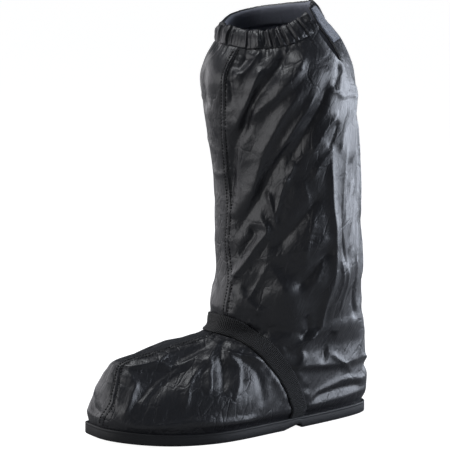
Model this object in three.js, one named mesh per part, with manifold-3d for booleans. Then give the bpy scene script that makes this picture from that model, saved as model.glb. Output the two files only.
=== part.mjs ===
// Left rain boot cover: coated cloth shaft and foot on a shallow rubber cup sole.
// Millimetres, toe towards -Y, outer side +X, floor at z = 0.
import * as THREE from "three";
import { mergeVertices } from "three/addons/utils/BufferGeometryUtils.js";
import Module from "manifold-3d";

// Sole
const SOLE_LENGTH = 325;
const BALL_WIDTH = 116;
const RIM_HEIGHT = 11.5;
const BASE_THICKNESS = 6.5;
const RIM_WALL = 2.8;
const EDGE_ROUND = 1;
const TOE_SPRING = 8.3;
const SPRING_SHARE = 0.28;
const TOE_SKEW = 6.7;
const SKEW_START = 0.2;
const BOW = 1.8;
const SOLE_ROUND = 0.54;
const ARCH_LIFT = 4;
const TREAD_DEPTH = 2;
const TREAD_GROOVE = 4;
const TREAD_PITCH = 12;
const TREAD_MARGIN = 9;
const TREADS = [
  { from: 0.29, to: 0.58 },
  { from: 0.7, to: 0.95 },
];

// Insole board
const INSOLE_THICKNESS = 1.5;

// Cloth upper
const WALL = 1.2;
const INSTEP_HEIGHT = 102;
const COLLAR_LEVEL = 405;
const COLLAR_RISE = 28.5;
const SHAFT_DEPTH = 166;
const SHAFT_WIDTH = 144;
const HEEL_SETBACK = 12.5;
const TOE_END = 0.92;
const HEEL_END = 0.95;

// Rear opening of the collar
const OPENING_DEPTH = 41;
const OPENING_ANGLE = 120;
const OUTER_SPREAD = 21;
const INNER_SPREAD = 25;
const SPREAD_TURN = 90;

// Gathered casing of the collar
const CASING_HEIGHT = 15;
const CASING_PLY = 1.4;
const CASING_CLEAR = 0.5;
const GATHER_DEPTH = 1.3;
const GATHER_ENDS = 0.6;
const CROWN_ROLL = 0.3;
const FLAP_SPAN = 45;

// Elastic instep strap
const STRAP_WIDTH = 19;
const STRAP_THICKNESS = 1.4;
const STRAP_FORM_TOP = 1.3 * INSTEP_HEIGHT;

// Touch fastener on the rear flap
const STRIP_HEIGHT = 27;
const STRIP_SPAN = 22;
const STRIP_THICKNESS = 1.5;
const STRIP_DROP = 2;
const STRIP_SETBACK = 1.5;
const STRIP_ROWS = 4;
const STRIP_COLUMNS = 6;

// Fit between neighbouring pieces
const CLEAR = 0.3;

// Fineness of the cloth's facets
const COLUMNS = 48;
const RING_PITCH = 20;
const NORMAL_STEP = 0.5;
const NORMAL_TURN = 0.02;

const HALF = SOLE_LENGTH / 2;
const SHAFT_REAR = HALF - HEEL_SETBACK;
const OPENING_LEVEL = COLLAR_LEVEL - OPENING_DEPTH;
const CASING_LEVEL = COLLAR_LEVEL - CASING_HEIGHT;
const radians = THREE.MathUtils.degToRad;
const clamp = (value, low = 0, high = 1) => Math.min(high, Math.max(low, value));
const mix = (a, b, t) => a + (b - a) * t;
const ease = (t) => clamp(t) ** 2 * (3 - 2 * clamp(t));

// Smooth curve through a table's rows, read at one place
function curve(places, values, place) {
  const last = places.length - 1;
  const at = clamp(place, places[0], places[last]);
  let i = 0;
  while (i < last - 1 && at > places[i + 1]) i += 1;
  const slope = (k) => {
    const low = Math.max(k - 1, 0);
    const high = Math.min(k + 1, last);
    return (values[high] - values[low]) / (places[high] - places[low]);
  };
  const span = places[i + 1] - places[i];
  const t = (at - places[i]) / span;
  const hold = mix(values[i], values[i + 1], t * t * (3 - 2 * t));
  return hold + span * (t * (1 - t) ** 2 * slope(i) - t * t * (1 - t) * slope(i + 1));
}

const column = (rows, name) => rows.map((row) => row[name]);

// Half width of the sole, as a share of half the ball width, at shares of its length
const SOLE_ROWS = [
  { along: 0.0, half: 0.81 },
  { along: 0.1, half: 0.888 },
  { along: 0.2, half: 0.95 },
  { along: 0.35, half: 1.0 },
  { along: 0.58, half: 0.819 },
  { along: 0.8, half: 0.707 },
  { along: 1.0, half: 0.636 },
];

// Underside of the sole, as shares of its length and of the arch lift
const ARCH_ROWS = [
  { along: 0.6, lift: 0 },
  { along: 0.65, lift: 0.9 },
  { along: 0.668, lift: 1 },
  { along: 0.676, lift: 0 },
];

// Foot of the upper: level as a share of the instep height, front and back as shares of
// half the sole's length, half widths as shares of half the ball width
const FOOT_ROWS = [
  { level: 0.216, front: -0.991, back: 1.0, toe: 0.897, ball: 1.017, arch: 0.845, heel: 0.716, round: 0.55 },
  { level: 0.392, front: -0.966, back: 1.012, toe: 0.828, ball: 0.991, arch: 0.845, heel: 0.733, round: 0.57 },
  { level: 0.529, front: -0.948, back: 0.995, toe: 0.707, ball: 0.914, arch: 0.845, heel: 0.741, round: 0.58 },
  { level: 0.627, front: -0.92, back: 0.983, toe: 0.586, ball: 0.819, arch: 0.845, heel: 0.741, round: 0.58 },
  { level: 0.706, front: -0.892, back: 0.982, toe: 0.483, ball: 0.75, arch: 0.845, heel: 0.741, round: 0.58 },
  { level: 0.804, front: -0.812, back: 0.978, toe: 0.448, ball: 0.724, arch: 0.845, heel: 0.759, round: 0.58 },
  { level: 0.902, front: -0.498, back: 0.969, toe: 0.466, ball: 0.759, arch: 0.862, heel: 0.793, round: 0.6 },
  { level: 1.0, front: -0.206, back: 0.954, toe: 0.534, ball: 0.828, arch: 0.914, heel: 0.81, round: 0.62 },
];

// Shaft of the upper: level as a share of the way from instep to collar, front and back as
// shares of the shaft's depth before its rear line, half widths as shares of half its width
const SHAFT_ROWS = [
  { level: 0.04, front: 1.046, back: -0.011, toe: 0.556, ball: 0.736, arch: 0.764, heel: 0.667, round: 0.66 },
  { level: 0.092, front: 1.038, back: -0.004, toe: 0.625, ball: 0.806, arch: 0.833, heel: 0.694, round: 0.74 },
  { level: 0.191, front: 0.99, back: -0.022, toe: 0.722, ball: 0.917, arch: 0.931, heel: 0.75, round: 0.82 },
  { level: 0.323, front: 1.0, back: 0.0, toe: 0.764, ball: 0.958, arch: 0.972, heel: 0.778, round: 0.88 },
  { level: 0.521, front: 1.016, back: 0.033, toe: 0.792, ball: 0.986, arch: 0.993, heel: 0.792, round: 0.9 },
  { level: 0.686, front: 1.07, back: 0.06, toe: 0.806, ball: 1.007, arch: 1.021, heel: 0.819, round: 0.9 },
  { level: 0.785, front: 1.101, back: 0.064, toe: 0.819, ball: 1.028, arch: 1.049, heel: 0.833, round: 0.9 },
  { level: 0.845, front: 1.117, back: 0.099, toe: 0.806, ball: 1.014, arch: 1.028, heel: 0.819, round: 0.9 },
  { level: 0.898, front: 1.079, back: 0.173, toe: 0.736, ball: 0.917, arch: 0.924, heel: 0.736, round: 0.9 },
  { level: 0.95, front: 1.005, back: 0.286, toe: 0.625, ball: 0.792, arch: 0.792, heel: 0.625, round: 0.9 },
  { level: 1.0, front: 0.968, back: 0.357, toe: 0.535, ball: 0.674, arch: 0.674, heel: 0.535, round: 0.9 },
];

// Rim of the collar round the shaft, as shares of its rise
const COLLAR_ROWS = [
  { angle: -70, rise: 0.45 },
  { angle: -34, rise: 0.25 },
  { angle: 10, rise: 0.12 },
  { angle: 42, rise: 0.0 },
  { angle: 68, rise: 0.14 },
  { angle: 95, rise: 0.55 },
  { angle: 120, rise: 0.84 },
  { angle: 150, rise: 1.0 },
  { angle: 190, rise: 0.93 },
  { angle: 240, rise: 0.76 },
  { angle: 290, rise: 0.45 },
  { angle: 326, rise: 0.25 },
  { angle: 370, rise: 0.12 },
  { angle: 402, rise: 0.0 },
];

// Strap's middle line seen from the side, as shares of half the sole and the instep height
const STRAP_ROWS = [
  { back: -0.4, up: 1.16 },
  { back: -0.148, up: 1.083 },
  { back: -0.049, up: 1.005 },
  { back: 0.037, up: 0.877 },
  { back: 0.123, up: 0.716 },
  { back: 0.203, up: 0.549 },
  { back: 0.265, up: 0.373 },
  { back: 0.308, up: 0.216 },
  { back: 0.325, up: 0.08 },
  { back: 0.325, up: -0.1 },
];

// Foot centre line, bent towards the inner side at the toe
function centreLine(y) {
  const toeward = clamp((-SKEW_START * HALF - y) / ((1 - SKEW_START) * HALF));
  return BOW * (1 - Math.min((y / HALF) ** 2, 1)) - TOE_SKEW * toeward ** 2;
}

// Lift of the sole's toe off the floor
function toeLift(y) {
  const along = (y + HALF) / SOLE_LENGTH;
  return TOE_SPRING * clamp((SPRING_SHARE - along) / SPRING_SHARE) ** 2;
}

// Underside of the sole: toe spring, arch and the step before the heel
function underside(y) {
  const along = (y + HALF) / SOLE_LENGTH;
  let lift = 0;
  for (let k = 1; k < ARCH_ROWS.length; k += 1) {
    const a = ARCH_ROWS[k - 1];
    const b = ARCH_ROWS[k];
    if (along >= a.along && along <= b.along) {
      lift = mix(a.lift, b.lift, (along - a.along) / (b.along - a.along));
    }
  }
  return toeLift(y) + ARCH_LIFT * lift;
}

// Half the sole's width at a share of its length
function soleHalf(along) {
  return (curve(column(SOLE_ROWS, "along"), column(SOLE_ROWS, "half"), along) * BALL_WIDTH) / 2;
}

// Point of the sole's outline, drawn in by an inset
function outline(angle, inset) {
  const along = (1 - Math.cos(angle)) / 2;
  const half = soleHalf(along);
  const y = mix(-HALF + inset, HALF - inset, along);
  const side = Math.sin(angle);
  const x = centreLine(y) + (half - inset) * Math.sign(side) * Math.abs(side) ** SOLE_ROUND;
  return [x, y];
}

// Sections of the upper from foot to collar, in millimetres
const SECTIONS = [
  ...FOOT_ROWS.map((row) => ({
    level: row.level * INSTEP_HEIGHT,
    front: row.front * HALF,
    back: row.back * HALF,
    halves: [row.toe, row.ball, row.arch, row.heel].map((share) => (share * BALL_WIDTH) / 2),
    round: row.round,
  })),
  ...SHAFT_ROWS.map((row) => ({
    level: mix(INSTEP_HEIGHT, COLLAR_LEVEL, row.level),
    front: SHAFT_REAR - row.front * SHAFT_DEPTH,
    back: SHAFT_REAR - row.back * SHAFT_DEPTH,
    halves: [row.toe, row.ball, row.arch, row.heel].map((share) => (share * SHAFT_WIDTH) / 2),
    round: row.round,
  })),
];
const SECTION_LEVELS = column(SECTIONS, "level");
const BOTTOM_LEVEL = SECTION_LEVELS[0];
const WIDTH_SHARES = [0, 0.12, 0.35, 0.62, 0.88, 1];

// One section at a level, from the curves through the table
function sectionAt(level) {
  const read = (pick) => curve(SECTION_LEVELS, SECTIONS.map(pick), level);
  const halves = [0, 1, 2, 3].map((k) => read((row) => row.halves[k]));
  return {
    front: read((row) => row.front),
    back: read((row) => row.back),
    round: read((row) => row.round),
    widths: [halves[0] * TOE_END, ...halves, halves[3] * HEEL_END],
  };
}

// Rise of the collar's rim at an angle
function rimRise(angle) {
  const start = COLLAR_ROWS[0].angle;
  const degrees = THREE.MathUtils.euclideanModulo(THREE.MathUtils.radToDeg(angle) - start, 360) + start;
  return COLLAR_RISE * curve(column(COLLAR_ROWS, "angle"), column(COLLAR_ROWS, "rise"), degrees);
}

// Outer face of the upper: a ring at each level, with its toe or shaft front at angle 0
function skin(level, angle) {
  const section = sectionAt(Math.max(level, BOTTOM_LEVEL));
  const along = (1 - Math.cos(angle)) / 2;
  const half = curve(WIDTH_SHARES, section.widths, along);
  const side = Math.sin(angle);
  let y = mix(section.front, section.back, along);
  let x = centreLine(y) + half * Math.sign(side) * Math.abs(side) ** section.round;
  const tucked = 1 - ease((level - RIM_HEIGHT - CLEAR) / (BOTTOM_LEVEL - RIM_HEIGHT - CLEAR));
  if (tucked > 0) {
    const [insideX, insideY] = outline(angle, RIM_WALL + CLEAR);
    x = mix(x, insideX, tucked);
    y = mix(y, insideY, tucked);
  }
  const springing = 1 - ease((level / INSTEP_HEIGHT - 0.2) / 0.4);
  const upShaft = (level - INSTEP_HEIGHT) / (COLLAR_LEVEL - INSTEP_HEIGHT);
  const collaring = ease((upShaft - 0.75) / 0.23);
  const z = level + springing * toeLift(y) + collaring * rimRise(angle);
  return new THREE.Vector3(x, y, z);
}

// The same face moved outwards along its normal
function skinAt(level, angle, grow) {
  const low = level - NORMAL_STEP;
  const high = Math.min(level + NORMAL_STEP, COLLAR_LEVEL);
  const round = skin(level, angle + NORMAL_TURN).sub(skin(level, angle - NORMAL_TURN));
  const rising = skin(high, angle).sub(skin(low, angle));
  const normal = round.cross(rising).normalize();
  return skin(level, angle).addScaledVector(normal, grow);
}

// Angle of a column: columns draw apart at the opening above its foot
function columnAngle(index, level) {
  const base = OPENING_ANGLE + (index * 360) / COLUMNS;
  const open = clamp((level - OPENING_LEVEL) / OPENING_DEPTH);
  const fromStart = 1 - ease((base - OPENING_ANGLE) / SPREAD_TURN);
  const fromEnd = 1 - ease((OPENING_ANGLE + 360 - base) / SPREAD_TURN);
  return radians(base + INNER_SPREAD * open * fromStart - OUTER_SPREAD * Math.sqrt(open) * fromEnd);
}

// Closed mesh from points and triangles, with its faces turned outwards
function geometryOf(points, triangles) {
  let volume = 0;
  for (const [a, b, c] of triangles) {
    volume += points[a].dot(new THREE.Vector3().crossVectors(points[b], points[c]));
  }
  const turned = volume < 0 ? triangles.map(([a, b, c]) => [a, c, b]) : triangles;
  const geometry = new THREE.BufferGeometry();
  const flat = points.flatMap((point) => [point.x, point.y, point.z]);
  geometry.setAttribute("position", new THREE.Float32BufferAttribute(flat, 3));
  geometry.setIndex(turned.flat());
  geometry.computeVertexNormals();
  return geometry;
}

// Solid between rings of equal count, closed at both ends by a fan, by cross strips
// between the two mirrored sides, or by the triangles given
function loft(rings, mirrored, ends) {
  const count = rings[0].length;
  const points = rings.flat();
  const triangles = [];
  for (let r = 0; r + 1 < rings.length; r += 1) {
    for (let j = 0; j < count; j += 1) {
      const k = (j + 1) % count;
      const [a, b, c, d] = [r * count + j, r * count + k, (r + 1) * count + k, (r + 1) * count + j];
      triangles.push([a, b, c], [a, c, d]);
    }
  }
  const cap = (start, flip) => {
    const add = (a, b, c) => triangles.push(flip ? [a, c, b] : [a, b, c]);
    if (ends) {
      for (const [a, b, c] of ends) add(start + a, start + c, start + b);
    } else if (mirrored) {
      for (let j = 0; j < count / 2; j += 1) {
        const [a, b] = [start + j, start + j + 1];
        const [c, d] = [start + ((count - j) % count), start + count - j - 1];
        if (a !== c) add(a, c, b);
        if (b !== d) add(b, c, d);
      }
    } else {
      const middle = new THREE.Vector3();
      for (let j = 0; j < count; j += 1) middle.addScaledVector(points[start + j], 1 / count);
      points.push(middle);
      for (let j = 0; j < count; j += 1) add(start + j, points.length - 1, start + ((j + 1) % count));
    }
  };
  cap(0, false);
  cap((rings.length - 1) * count, true);
  return geometryOf(points, triangles);
}

const wasm = await Module();
wasm.setup();

// Manifold of a geometry, and back
function toManifold(geometry) {
  const bare = new THREE.BufferGeometry();
  bare.setAttribute("position", geometry.getAttribute("position"));
  if (geometry.getIndex()) bare.setIndex(geometry.getIndex());
  const merged = mergeVertices(bare, 1e-5);
  const numProp = 3;
  const vertProperties = new Float32Array(merged.getAttribute("position").array);
  const triVerts = new Uint32Array(merged.getIndex().array);
  return new wasm.Manifold(new wasm.Mesh({ numProp, vertProperties, triVerts }));
}
function fromManifold(solid) {
  const mesh = solid.getMesh();
  const geometry = new THREE.BufferGeometry();
  geometry.setAttribute("position", new THREE.Float32BufferAttribute([...mesh.vertProperties], 3));
  geometry.setIndex([...mesh.triVerts]);
  geometry.computeVertexNormals();
  return geometry;
}

// Angles of the sole's outline: the upper's columns, and each break of the arch on both sides
function outlineAngles() {
  const angles = [];
  for (let j = 0; j <= COLUMNS / 2; j += 1) angles.push((j * 2 * Math.PI) / COLUMNS);
  for (const row of ARCH_ROWS) angles.push(Math.acos(1 - 2 * row.along));
  angles.sort((a, b) => a - b);
  const back = angles.slice(1, -1).reverse();
  return [...angles, ...back.map((angle) => 2 * Math.PI - angle)];
}

// Ring of the sole at an inset and a height above the toe spring or the underside
function soleRing(inset, height) {
  return outlineAngles().map((angle) => {
    const [x, y] = outline(angle, inset);
    return new THREE.Vector3(x, y, height(y));
  });
}

function soleGeometry() {
  const wall = (height) => (y) => toeLift(y) + height;
  const body = loft(
    [
      soleRing(EDGE_ROUND, underside),
      soleRing(0, (y) => underside(y) + EDGE_ROUND),
      soleRing(0, wall(RIM_HEIGHT - EDGE_ROUND)),
      soleRing(EDGE_ROUND / 2, wall(RIM_HEIGHT)),
      soleRing(RIM_WALL, wall(RIM_HEIGHT)),
      soleRing(RIM_WALL, wall(BASE_THICKNESS)),
    ],
    true,
  );
  let sole = toManifold(body);
  for (const groove of grooves()) sole = sole.subtract(toManifold(groove));
  return fromManifold(sole);
}

// Cross grooves of the tread, in the flat of the forefoot and of the heel
function grooves() {
  const boxes = [];
  for (const tread of TREADS) {
    const start = -HALF + tread.from * SOLE_LENGTH;
    const room = (tread.to - tread.from) * SOLE_LENGTH;
    const count = Math.floor(room / TREAD_PITCH);
    for (let k = 0; k < count; k += 1) {
      const y = start + (room * (k + 0.5)) / count;
      const along = (y + HALF) / SOLE_LENGTH;
      const reach = outline(Math.acos(1 - 2 * along), TREAD_MARGIN)[0] - centreLine(y);
      const box = new THREE.BoxGeometry(2 * reach, TREAD_GROOVE, 2 * TREAD_DEPTH);
      box.translate(centreLine(y), y, 0);
      boxes.push(box);
    }
  }
  return boxes;
}

function insoleGeometry() {
  const inset = RIM_WALL + CLEAR + WALL + CLEAR;
  const wall = (height) => (y) => toeLift(y) + height;
  const bottom = BASE_THICKNESS + CLEAR;
  return loft([soleRing(inset, wall(bottom)), soleRing(inset, wall(bottom + INSOLE_THICKNESS))], true);
}

// Levels of the upper's rings: at every row of the tables, and between rows far apart
function upperLevels() {
  const rim = RIM_HEIGHT + CLEAR;
  const levels = [BASE_THICKNESS + CLEAR, rim, mix(rim, BOTTOM_LEVEL, 0.35), mix(rim, BOTTOM_LEVEL, 0.7)];
  for (let k = 0; k + 1 < SECTIONS.length; k += 1) {
    const [a, b] = [SECTIONS[k], SECTIONS[k + 1]];
    const parts = Math.ceil(Math.hypot(b.level - a.level, b.front - a.front) / RING_PITCH);
    for (let i = 0; i < parts; i += 1) levels.push(mix(a.level, b.level, i / parts));
  }
  const fixed = [OPENING_LEVEL, CASING_LEVEL];
  const near = (level) => fixed.some((place) => Math.abs(level - place) < RING_PITCH / 8);
  const free = levels.filter((level) => level < CASING_LEVEL && !near(level));
  return [...free, ...fixed, COLLAR_LEVEL].sort((a, b) => a - b);
}

// Cloth sheet wrapped round the foot and leg, joined below the opening and split above it
function upperGeometry() {
  const levels = upperLevels();
  const split = levels.indexOf(OPENING_LEVEL);
  const points = [];
  const rows = levels.map((level, r) => {
    const faces = [0, -WALL].map((grow) => {
      const ids = [];
      for (let j = 0; j <= COLUMNS; j += 1) {
        if (j === COLUMNS && r <= split) {
          ids.push(ids[0]);
        } else {
          points.push(skinAt(level, columnAngle(j, level), grow));
          ids.push(points.length - 1);
        }
      }
      return ids;
    });
    return { outer: faces[0], inner: faces[1] };
  });
  const triangles = [];
  const quad = (a, b, c, d) => triangles.push([a, b, c], [a, c, d]);
  for (let r = 0; r + 1 < rows.length; r += 1) {
    const [low, high] = [rows[r], rows[r + 1]];
    for (let j = 0; j < COLUMNS; j += 1) {
      quad(low.outer[j], low.outer[j + 1], high.outer[j + 1], high.outer[j]);
      triangles.push([low.inner[j], high.inner[j + 1], low.inner[j + 1]]);
      triangles.push([low.inner[j], high.inner[j], high.inner[j + 1]]);
    }
    if (r >= split) {
      quad(low.inner[0], low.outer[0], high.outer[0], high.inner[0]);
      quad(low.outer[COLUMNS], low.inner[COLUMNS], high.inner[COLUMNS], high.outer[COLUMNS]);
    }
  }
  const bottom = rows[0];
  const top = rows[rows.length - 1];
  for (let j = 0; j < COLUMNS; j += 1) {
    quad(bottom.inner[j], bottom.inner[j + 1], bottom.outer[j + 1], bottom.outer[j]);
    quad(top.outer[j], top.outer[j + 1], top.inner[j + 1], top.inner[j]);
  }
  return geometryOf(points, triangles);
}

// Gathered casing: a channel of cloth over the collar's edge, from the flap round to the opening
function casingGeometry() {
  const foot = CASING_LEVEL;
  const first = Math.round((FLAP_SPAN / 360) * COLUMNS);
  const steps = (COLUMNS - first) * 2;
  const at = (half, level, grow) => {
    const j = first + half / 2;
    const low = skinAt(level, columnAngle(Math.floor(j), level), grow);
    const high = skinAt(level, columnAngle(Math.ceil(j), level), grow);
    return low.lerp(high, j - Math.floor(j));
  };
  const over = new THREE.Vector3(0, 0, 1);
  const roll = CROWN_ROLL * CASING_PLY;
  const rings = [];
  for (let half = 0; half <= steps; half += 1) {
    const puff = half % 2 === 1 ? GATHER_DEPTH : 0;
    const outside = CASING_CLEAR + CASING_PLY;
    const inside = WALL + CASING_CLEAR;
    rings.push([
      at(half, foot, CASING_CLEAR),
      at(half, foot, outside + puff * GATHER_ENDS),
      at(half, (foot + COLLAR_LEVEL) / 2, outside + puff + roll),
      at(half, COLLAR_LEVEL, outside + puff * GATHER_ENDS).addScaledVector(over, roll),
      at(half, COLLAR_LEVEL, -WALL / 2).addScaledVector(over, CLEAR + CASING_PLY),
      at(half, COLLAR_LEVEL, -inside - CASING_PLY).addScaledVector(over, roll),
      at(half, foot, -inside - CASING_PLY),
      at(half, foot, -inside),
      at(half, COLLAR_LEVEL, -inside).addScaledVector(over, CLEAR),
      at(half, COLLAR_LEVEL, CASING_CLEAR).addScaledVector(over, CLEAR),
    ]);
  }
  const ends = [[0, 1, 2], [0, 2, 9], [9, 2, 3], [9, 3, 4], [9, 4, 8], [8, 4, 5], [8, 5, 6], [8, 6, 7]];
  return loft(rings, false, ends);
}

// Filled form of the foot and lower leg, grown outwards, and drawn out at both ends
function footForm(grow, extra) {
  const levels = upperLevels().filter((level) => level > RIM_HEIGHT && level < STRAP_FORM_TOP);
  const rings = levels.map((level) => {
    const ring = [];
    for (let j = 0; j < COLUMNS; j += 1) ring.push(skinAt(level, columnAngle(j, level), grow));
    return ring;
  });
  if (extra > 0) {
    const moved = (ring, rise) => ring.map((point) => new THREE.Vector3(point.x, point.y, point.z + rise));
    rings.unshift(moved(rings[0], -extra));
    rings.push(moved(rings[rings.length - 1], extra));
  }
  return loft(rings, false);
}

// Elastic strap: a ribbon seen from the side, cut from the layer just outside the upper
function strapGeometry() {
  const line = STRAP_ROWS.map((row) => new THREE.Vector2(row.back * HALF, row.up * INSTEP_HEIGHT));
  const edge = (side) =>
    line.map((point, k) => {
      const before = line[Math.max(k - 1, 0)];
      const after = line[Math.min(k + 1, line.length - 1)];
      const run = new THREE.Vector2().subVectors(after, before).normalize();
      return new THREE.Vector2(point.x - run.y * side, point.y + run.x * side);
    });
  const ribbon = new THREE.Shape([...edge(STRAP_WIDTH / 2), ...edge(-STRAP_WIDTH / 2).reverse()]);
  const band = new THREE.ExtrudeGeometry(ribbon, { depth: 2 * BALL_WIDTH, bevelEnabled: false });
  const [across, along, up] = [new THREE.Vector3(1), new THREE.Vector3(0, 1), new THREE.Vector3(0, 0, 1)];
  band.translate(0, 0, -BALL_WIDTH);
  band.applyMatrix4(new THREE.Matrix4().makeBasis(along, up, across));
  const within = toManifold(footForm(CLEAR, STRAP_WIDTH));
  const layer = toManifold(footForm(CLEAR + STRAP_THICKNESS, 0)).subtract(within);
  return fromManifold(layer.intersect(toManifold(band)));
}

// Touch fastener strip on the outer face of the flap
function stripGeometry() {
  const top = COLLAR_LEVEL - STRIP_DROP;
  const [rows, columns] = [STRIP_ROWS, STRIP_COLUMNS];
  const points = [];
  const triangles = [];
  const id = (r, c, layer) => (r * (columns + 1) + c) * 2 + layer;
  for (let r = 0; r <= rows; r += 1) {
    const level = top - (STRIP_HEIGHT * (rows - r)) / rows;
    for (let c = 0; c <= columns; c += 1) {
      const start = (columnAngle(0, level) * 180) / Math.PI + STRIP_SETBACK;
      const angle = radians(start + (STRIP_SPAN * c) / columns);
      points.push(skinAt(level, angle, CLEAR), skinAt(level, angle, CLEAR + STRIP_THICKNESS));
    }
  }
  const quad = (a, b, c, d) => triangles.push([a, b, c], [a, c, d]);
  for (let r = 0; r < rows; r += 1) {
    for (let c = 0; c < columns; c += 1) {
      quad(id(r, c, 1), id(r, c + 1, 1), id(r + 1, c + 1, 1), id(r + 1, c, 1));
      quad(id(r, c, 0), id(r + 1, c, 0), id(r + 1, c + 1, 0), id(r, c + 1, 0));
    }
    quad(id(r, 0, 0), id(r, 0, 1), id(r + 1, 0, 1), id(r + 1, 0, 0));
    quad(id(r, columns, 1), id(r, columns, 0), id(r + 1, columns, 0), id(r + 1, columns, 1));
  }
  for (let c = 0; c < columns; c += 1) {
    quad(id(0, c, 0), id(0, c + 1, 0), id(0, c + 1, 1), id(0, c, 1));
    quad(id(rows, c, 1), id(rows, c + 1, 1), id(rows, c + 1, 0), id(rows, c, 0));
  }
  return geometryOf(points, triangles);
}

function named(name, geometry, color, roughness) {
  const material = new THREE.MeshStandardMaterial({ color, roughness, metalness: 0 });
  const mesh = new THREE.Mesh(geometry, material);
  mesh.name = name;
  return mesh;
}

const cover = new THREE.Group();
cover.add(named("sole", soleGeometry(), 0x1e1f22, 0.5));
cover.add(named("insole", insoleGeometry(), 0x2a2a2c, 0.9));
cover.add(named("upper", upperGeometry(), 0x17181b, 0.4));
cover.add(named("collar_casing", casingGeometry(), 0x17181b, 0.45));
cover.add(named("instep_strap", strapGeometry(), 0x3a3b3d, 0.85));
cover.add(named("touch_strip", stripGeometry(), 0x6f7884, 0.95));

// Origin on the floor, under the middle of the whole cover
const box = new THREE.Box3().setFromObject(cover);
const middle = box.getCenter(new THREE.Vector3());
cover.position.set(-middle.x, -middle.y, -box.min.z);
cover.updateMatrixWorld(true);

export default cover;
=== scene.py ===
# Left rain boot cover: a tall shaft and foot of black coated cloth on a shallow rubber cup sole.
# Shapes are worked out in millimetres round the foot, toe towards -Y, and each mesh is made in
# metres.
import math

import bpy
import numpy as np
from mathutils import Matrix, Vector


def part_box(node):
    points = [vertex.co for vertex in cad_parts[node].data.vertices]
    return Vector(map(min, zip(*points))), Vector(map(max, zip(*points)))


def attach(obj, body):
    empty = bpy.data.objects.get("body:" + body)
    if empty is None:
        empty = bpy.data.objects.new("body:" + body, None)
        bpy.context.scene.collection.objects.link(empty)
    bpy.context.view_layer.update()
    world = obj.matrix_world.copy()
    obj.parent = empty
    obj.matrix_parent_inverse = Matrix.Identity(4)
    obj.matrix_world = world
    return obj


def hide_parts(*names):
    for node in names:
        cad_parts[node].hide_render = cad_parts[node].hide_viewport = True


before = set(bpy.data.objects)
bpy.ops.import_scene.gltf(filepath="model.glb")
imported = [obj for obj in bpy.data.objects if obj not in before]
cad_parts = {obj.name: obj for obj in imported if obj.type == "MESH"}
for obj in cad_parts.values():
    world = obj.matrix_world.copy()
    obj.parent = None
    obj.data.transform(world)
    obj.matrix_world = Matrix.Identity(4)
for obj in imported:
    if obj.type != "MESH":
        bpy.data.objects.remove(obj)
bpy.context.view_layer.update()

# Sole: a cup moulded in one piece of black rubber, flat sided, with a soft lip at its rim,
# an arch notched in behind the forefoot, and cross grooves in its tread. The upper stands in it.
SOLE_LENGTH = 325
BALL_WIDTH = 116
RIM_HEIGHT = 11.5
BASE_THICKNESS = 6.5
RIM_WALL = 2.8
TOE_SPRING = 8.3
SPRING_SHARE = 0.28
TOE_SKEW = 6.7
SKEW_START = 0.2
BOW = 1.8
ARCH_LIFT = 4
ARCH_PLACES = [0.6, 0.65, 0.668, 0.676]
ARCH_SHARES = [0, 0.9, 1, 0]
TREAD_DEPTH = 2
TREAD_GROOVE = 4
TREAD_PITCH = 12
TREAD_MARGIN = 9
GROOVE_BEVEL = 0.5
TREADS = [(0.29, 0.58), (0.7, 0.95)]
SOLE_SHARES = [0.0, 0.1, 0.2, 0.35, 0.58, 0.8, 1.0]
SOLE_HALVES = [0.81, 0.888, 0.95, 1.0, 0.819, 0.707, 0.636]
SOLE_ROUND = 0.54
HALF = SOLE_LENGTH / 2
MILLIMETRES = 1000
RIM_SAMPLES = 721
RUBBER_BLACK = (0.009, 0.0092, 0.0108)


def curve(places, values, at):
    """Smooth line through the values at their places: cubic pieces whose slope at each place
    is the slope between its two neighbours."""
    places, values = np.asarray(places, float), np.asarray(values, float)
    at = np.clip(np.asarray(at, float), places[0], places[-1])
    last = len(places) - 1
    i = np.clip(np.searchsorted(places, at) - 1, 0, last - 1)
    low, high = np.maximum(np.arange(last + 1) - 1, 0), np.minimum(np.arange(last + 1) + 1, last)
    slope = (values[high] - values[low]) / (places[high] - places[low])
    span = places[i + 1] - places[i]
    t = (at - places[i]) / span
    hold = values[i] + (values[i + 1] - values[i]) * t * t * (3 - 2 * t)
    return hold + span * (t * (1 - t) ** 2 * slope[i] - t * t * (1 - t) * slope[i + 1])


def ease(t):
    """Smooth step: 3t² − 2t³, held at 0 below 0 and at 1 above 1."""
    t = np.clip(t, 0, 1)
    return t * t * (3 - 2 * t)


def centre_line(y):
    """Middle of the foot: bowed outwards along its length and bent inwards at the toe."""
    toeward = np.clip((-SKEW_START * HALF - y) / ((1 - SKEW_START) * HALF), 0, 1)
    return BOW * (1 - np.minimum((y / HALF) ** 2, 1)) - TOE_SKEW * toeward**2


def toe_lift(y):
    """Toe spring: grows with the square of the way to the toe, over the front share of the sole."""
    along = (y + HALF) / SOLE_LENGTH
    return TOE_SPRING * np.clip((SPRING_SHARE - along) / SPRING_SHARE, 0, 1) ** 2


def underside(y):
    """Tread face: toe spring, then the arch's slow rise and its step down in front of the heel."""
    along = (y + HALF) / SOLE_LENGTH
    return toe_lift(y) + ARCH_LIFT * np.interp(along, ARCH_PLACES, ARCH_SHARES)


def outline(angle, inset):
    """Plan of the sole: along is (1 − cos angle) / 2, and the half width from the table, less the
    inset, times the sine to a small power, which gives full square-shouldered ends."""
    along = (1 - np.cos(angle)) / 2
    half = curve(SOLE_SHARES, SOLE_HALVES, along) * BALL_WIDTH / 2 - inset
    y = -HALF + inset + (SOLE_LENGTH - 2 * inset) * along
    side = np.sin(angle)
    return centre_line(y) + half * np.sign(side) * np.abs(side) ** SOLE_ROUND, y


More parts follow.
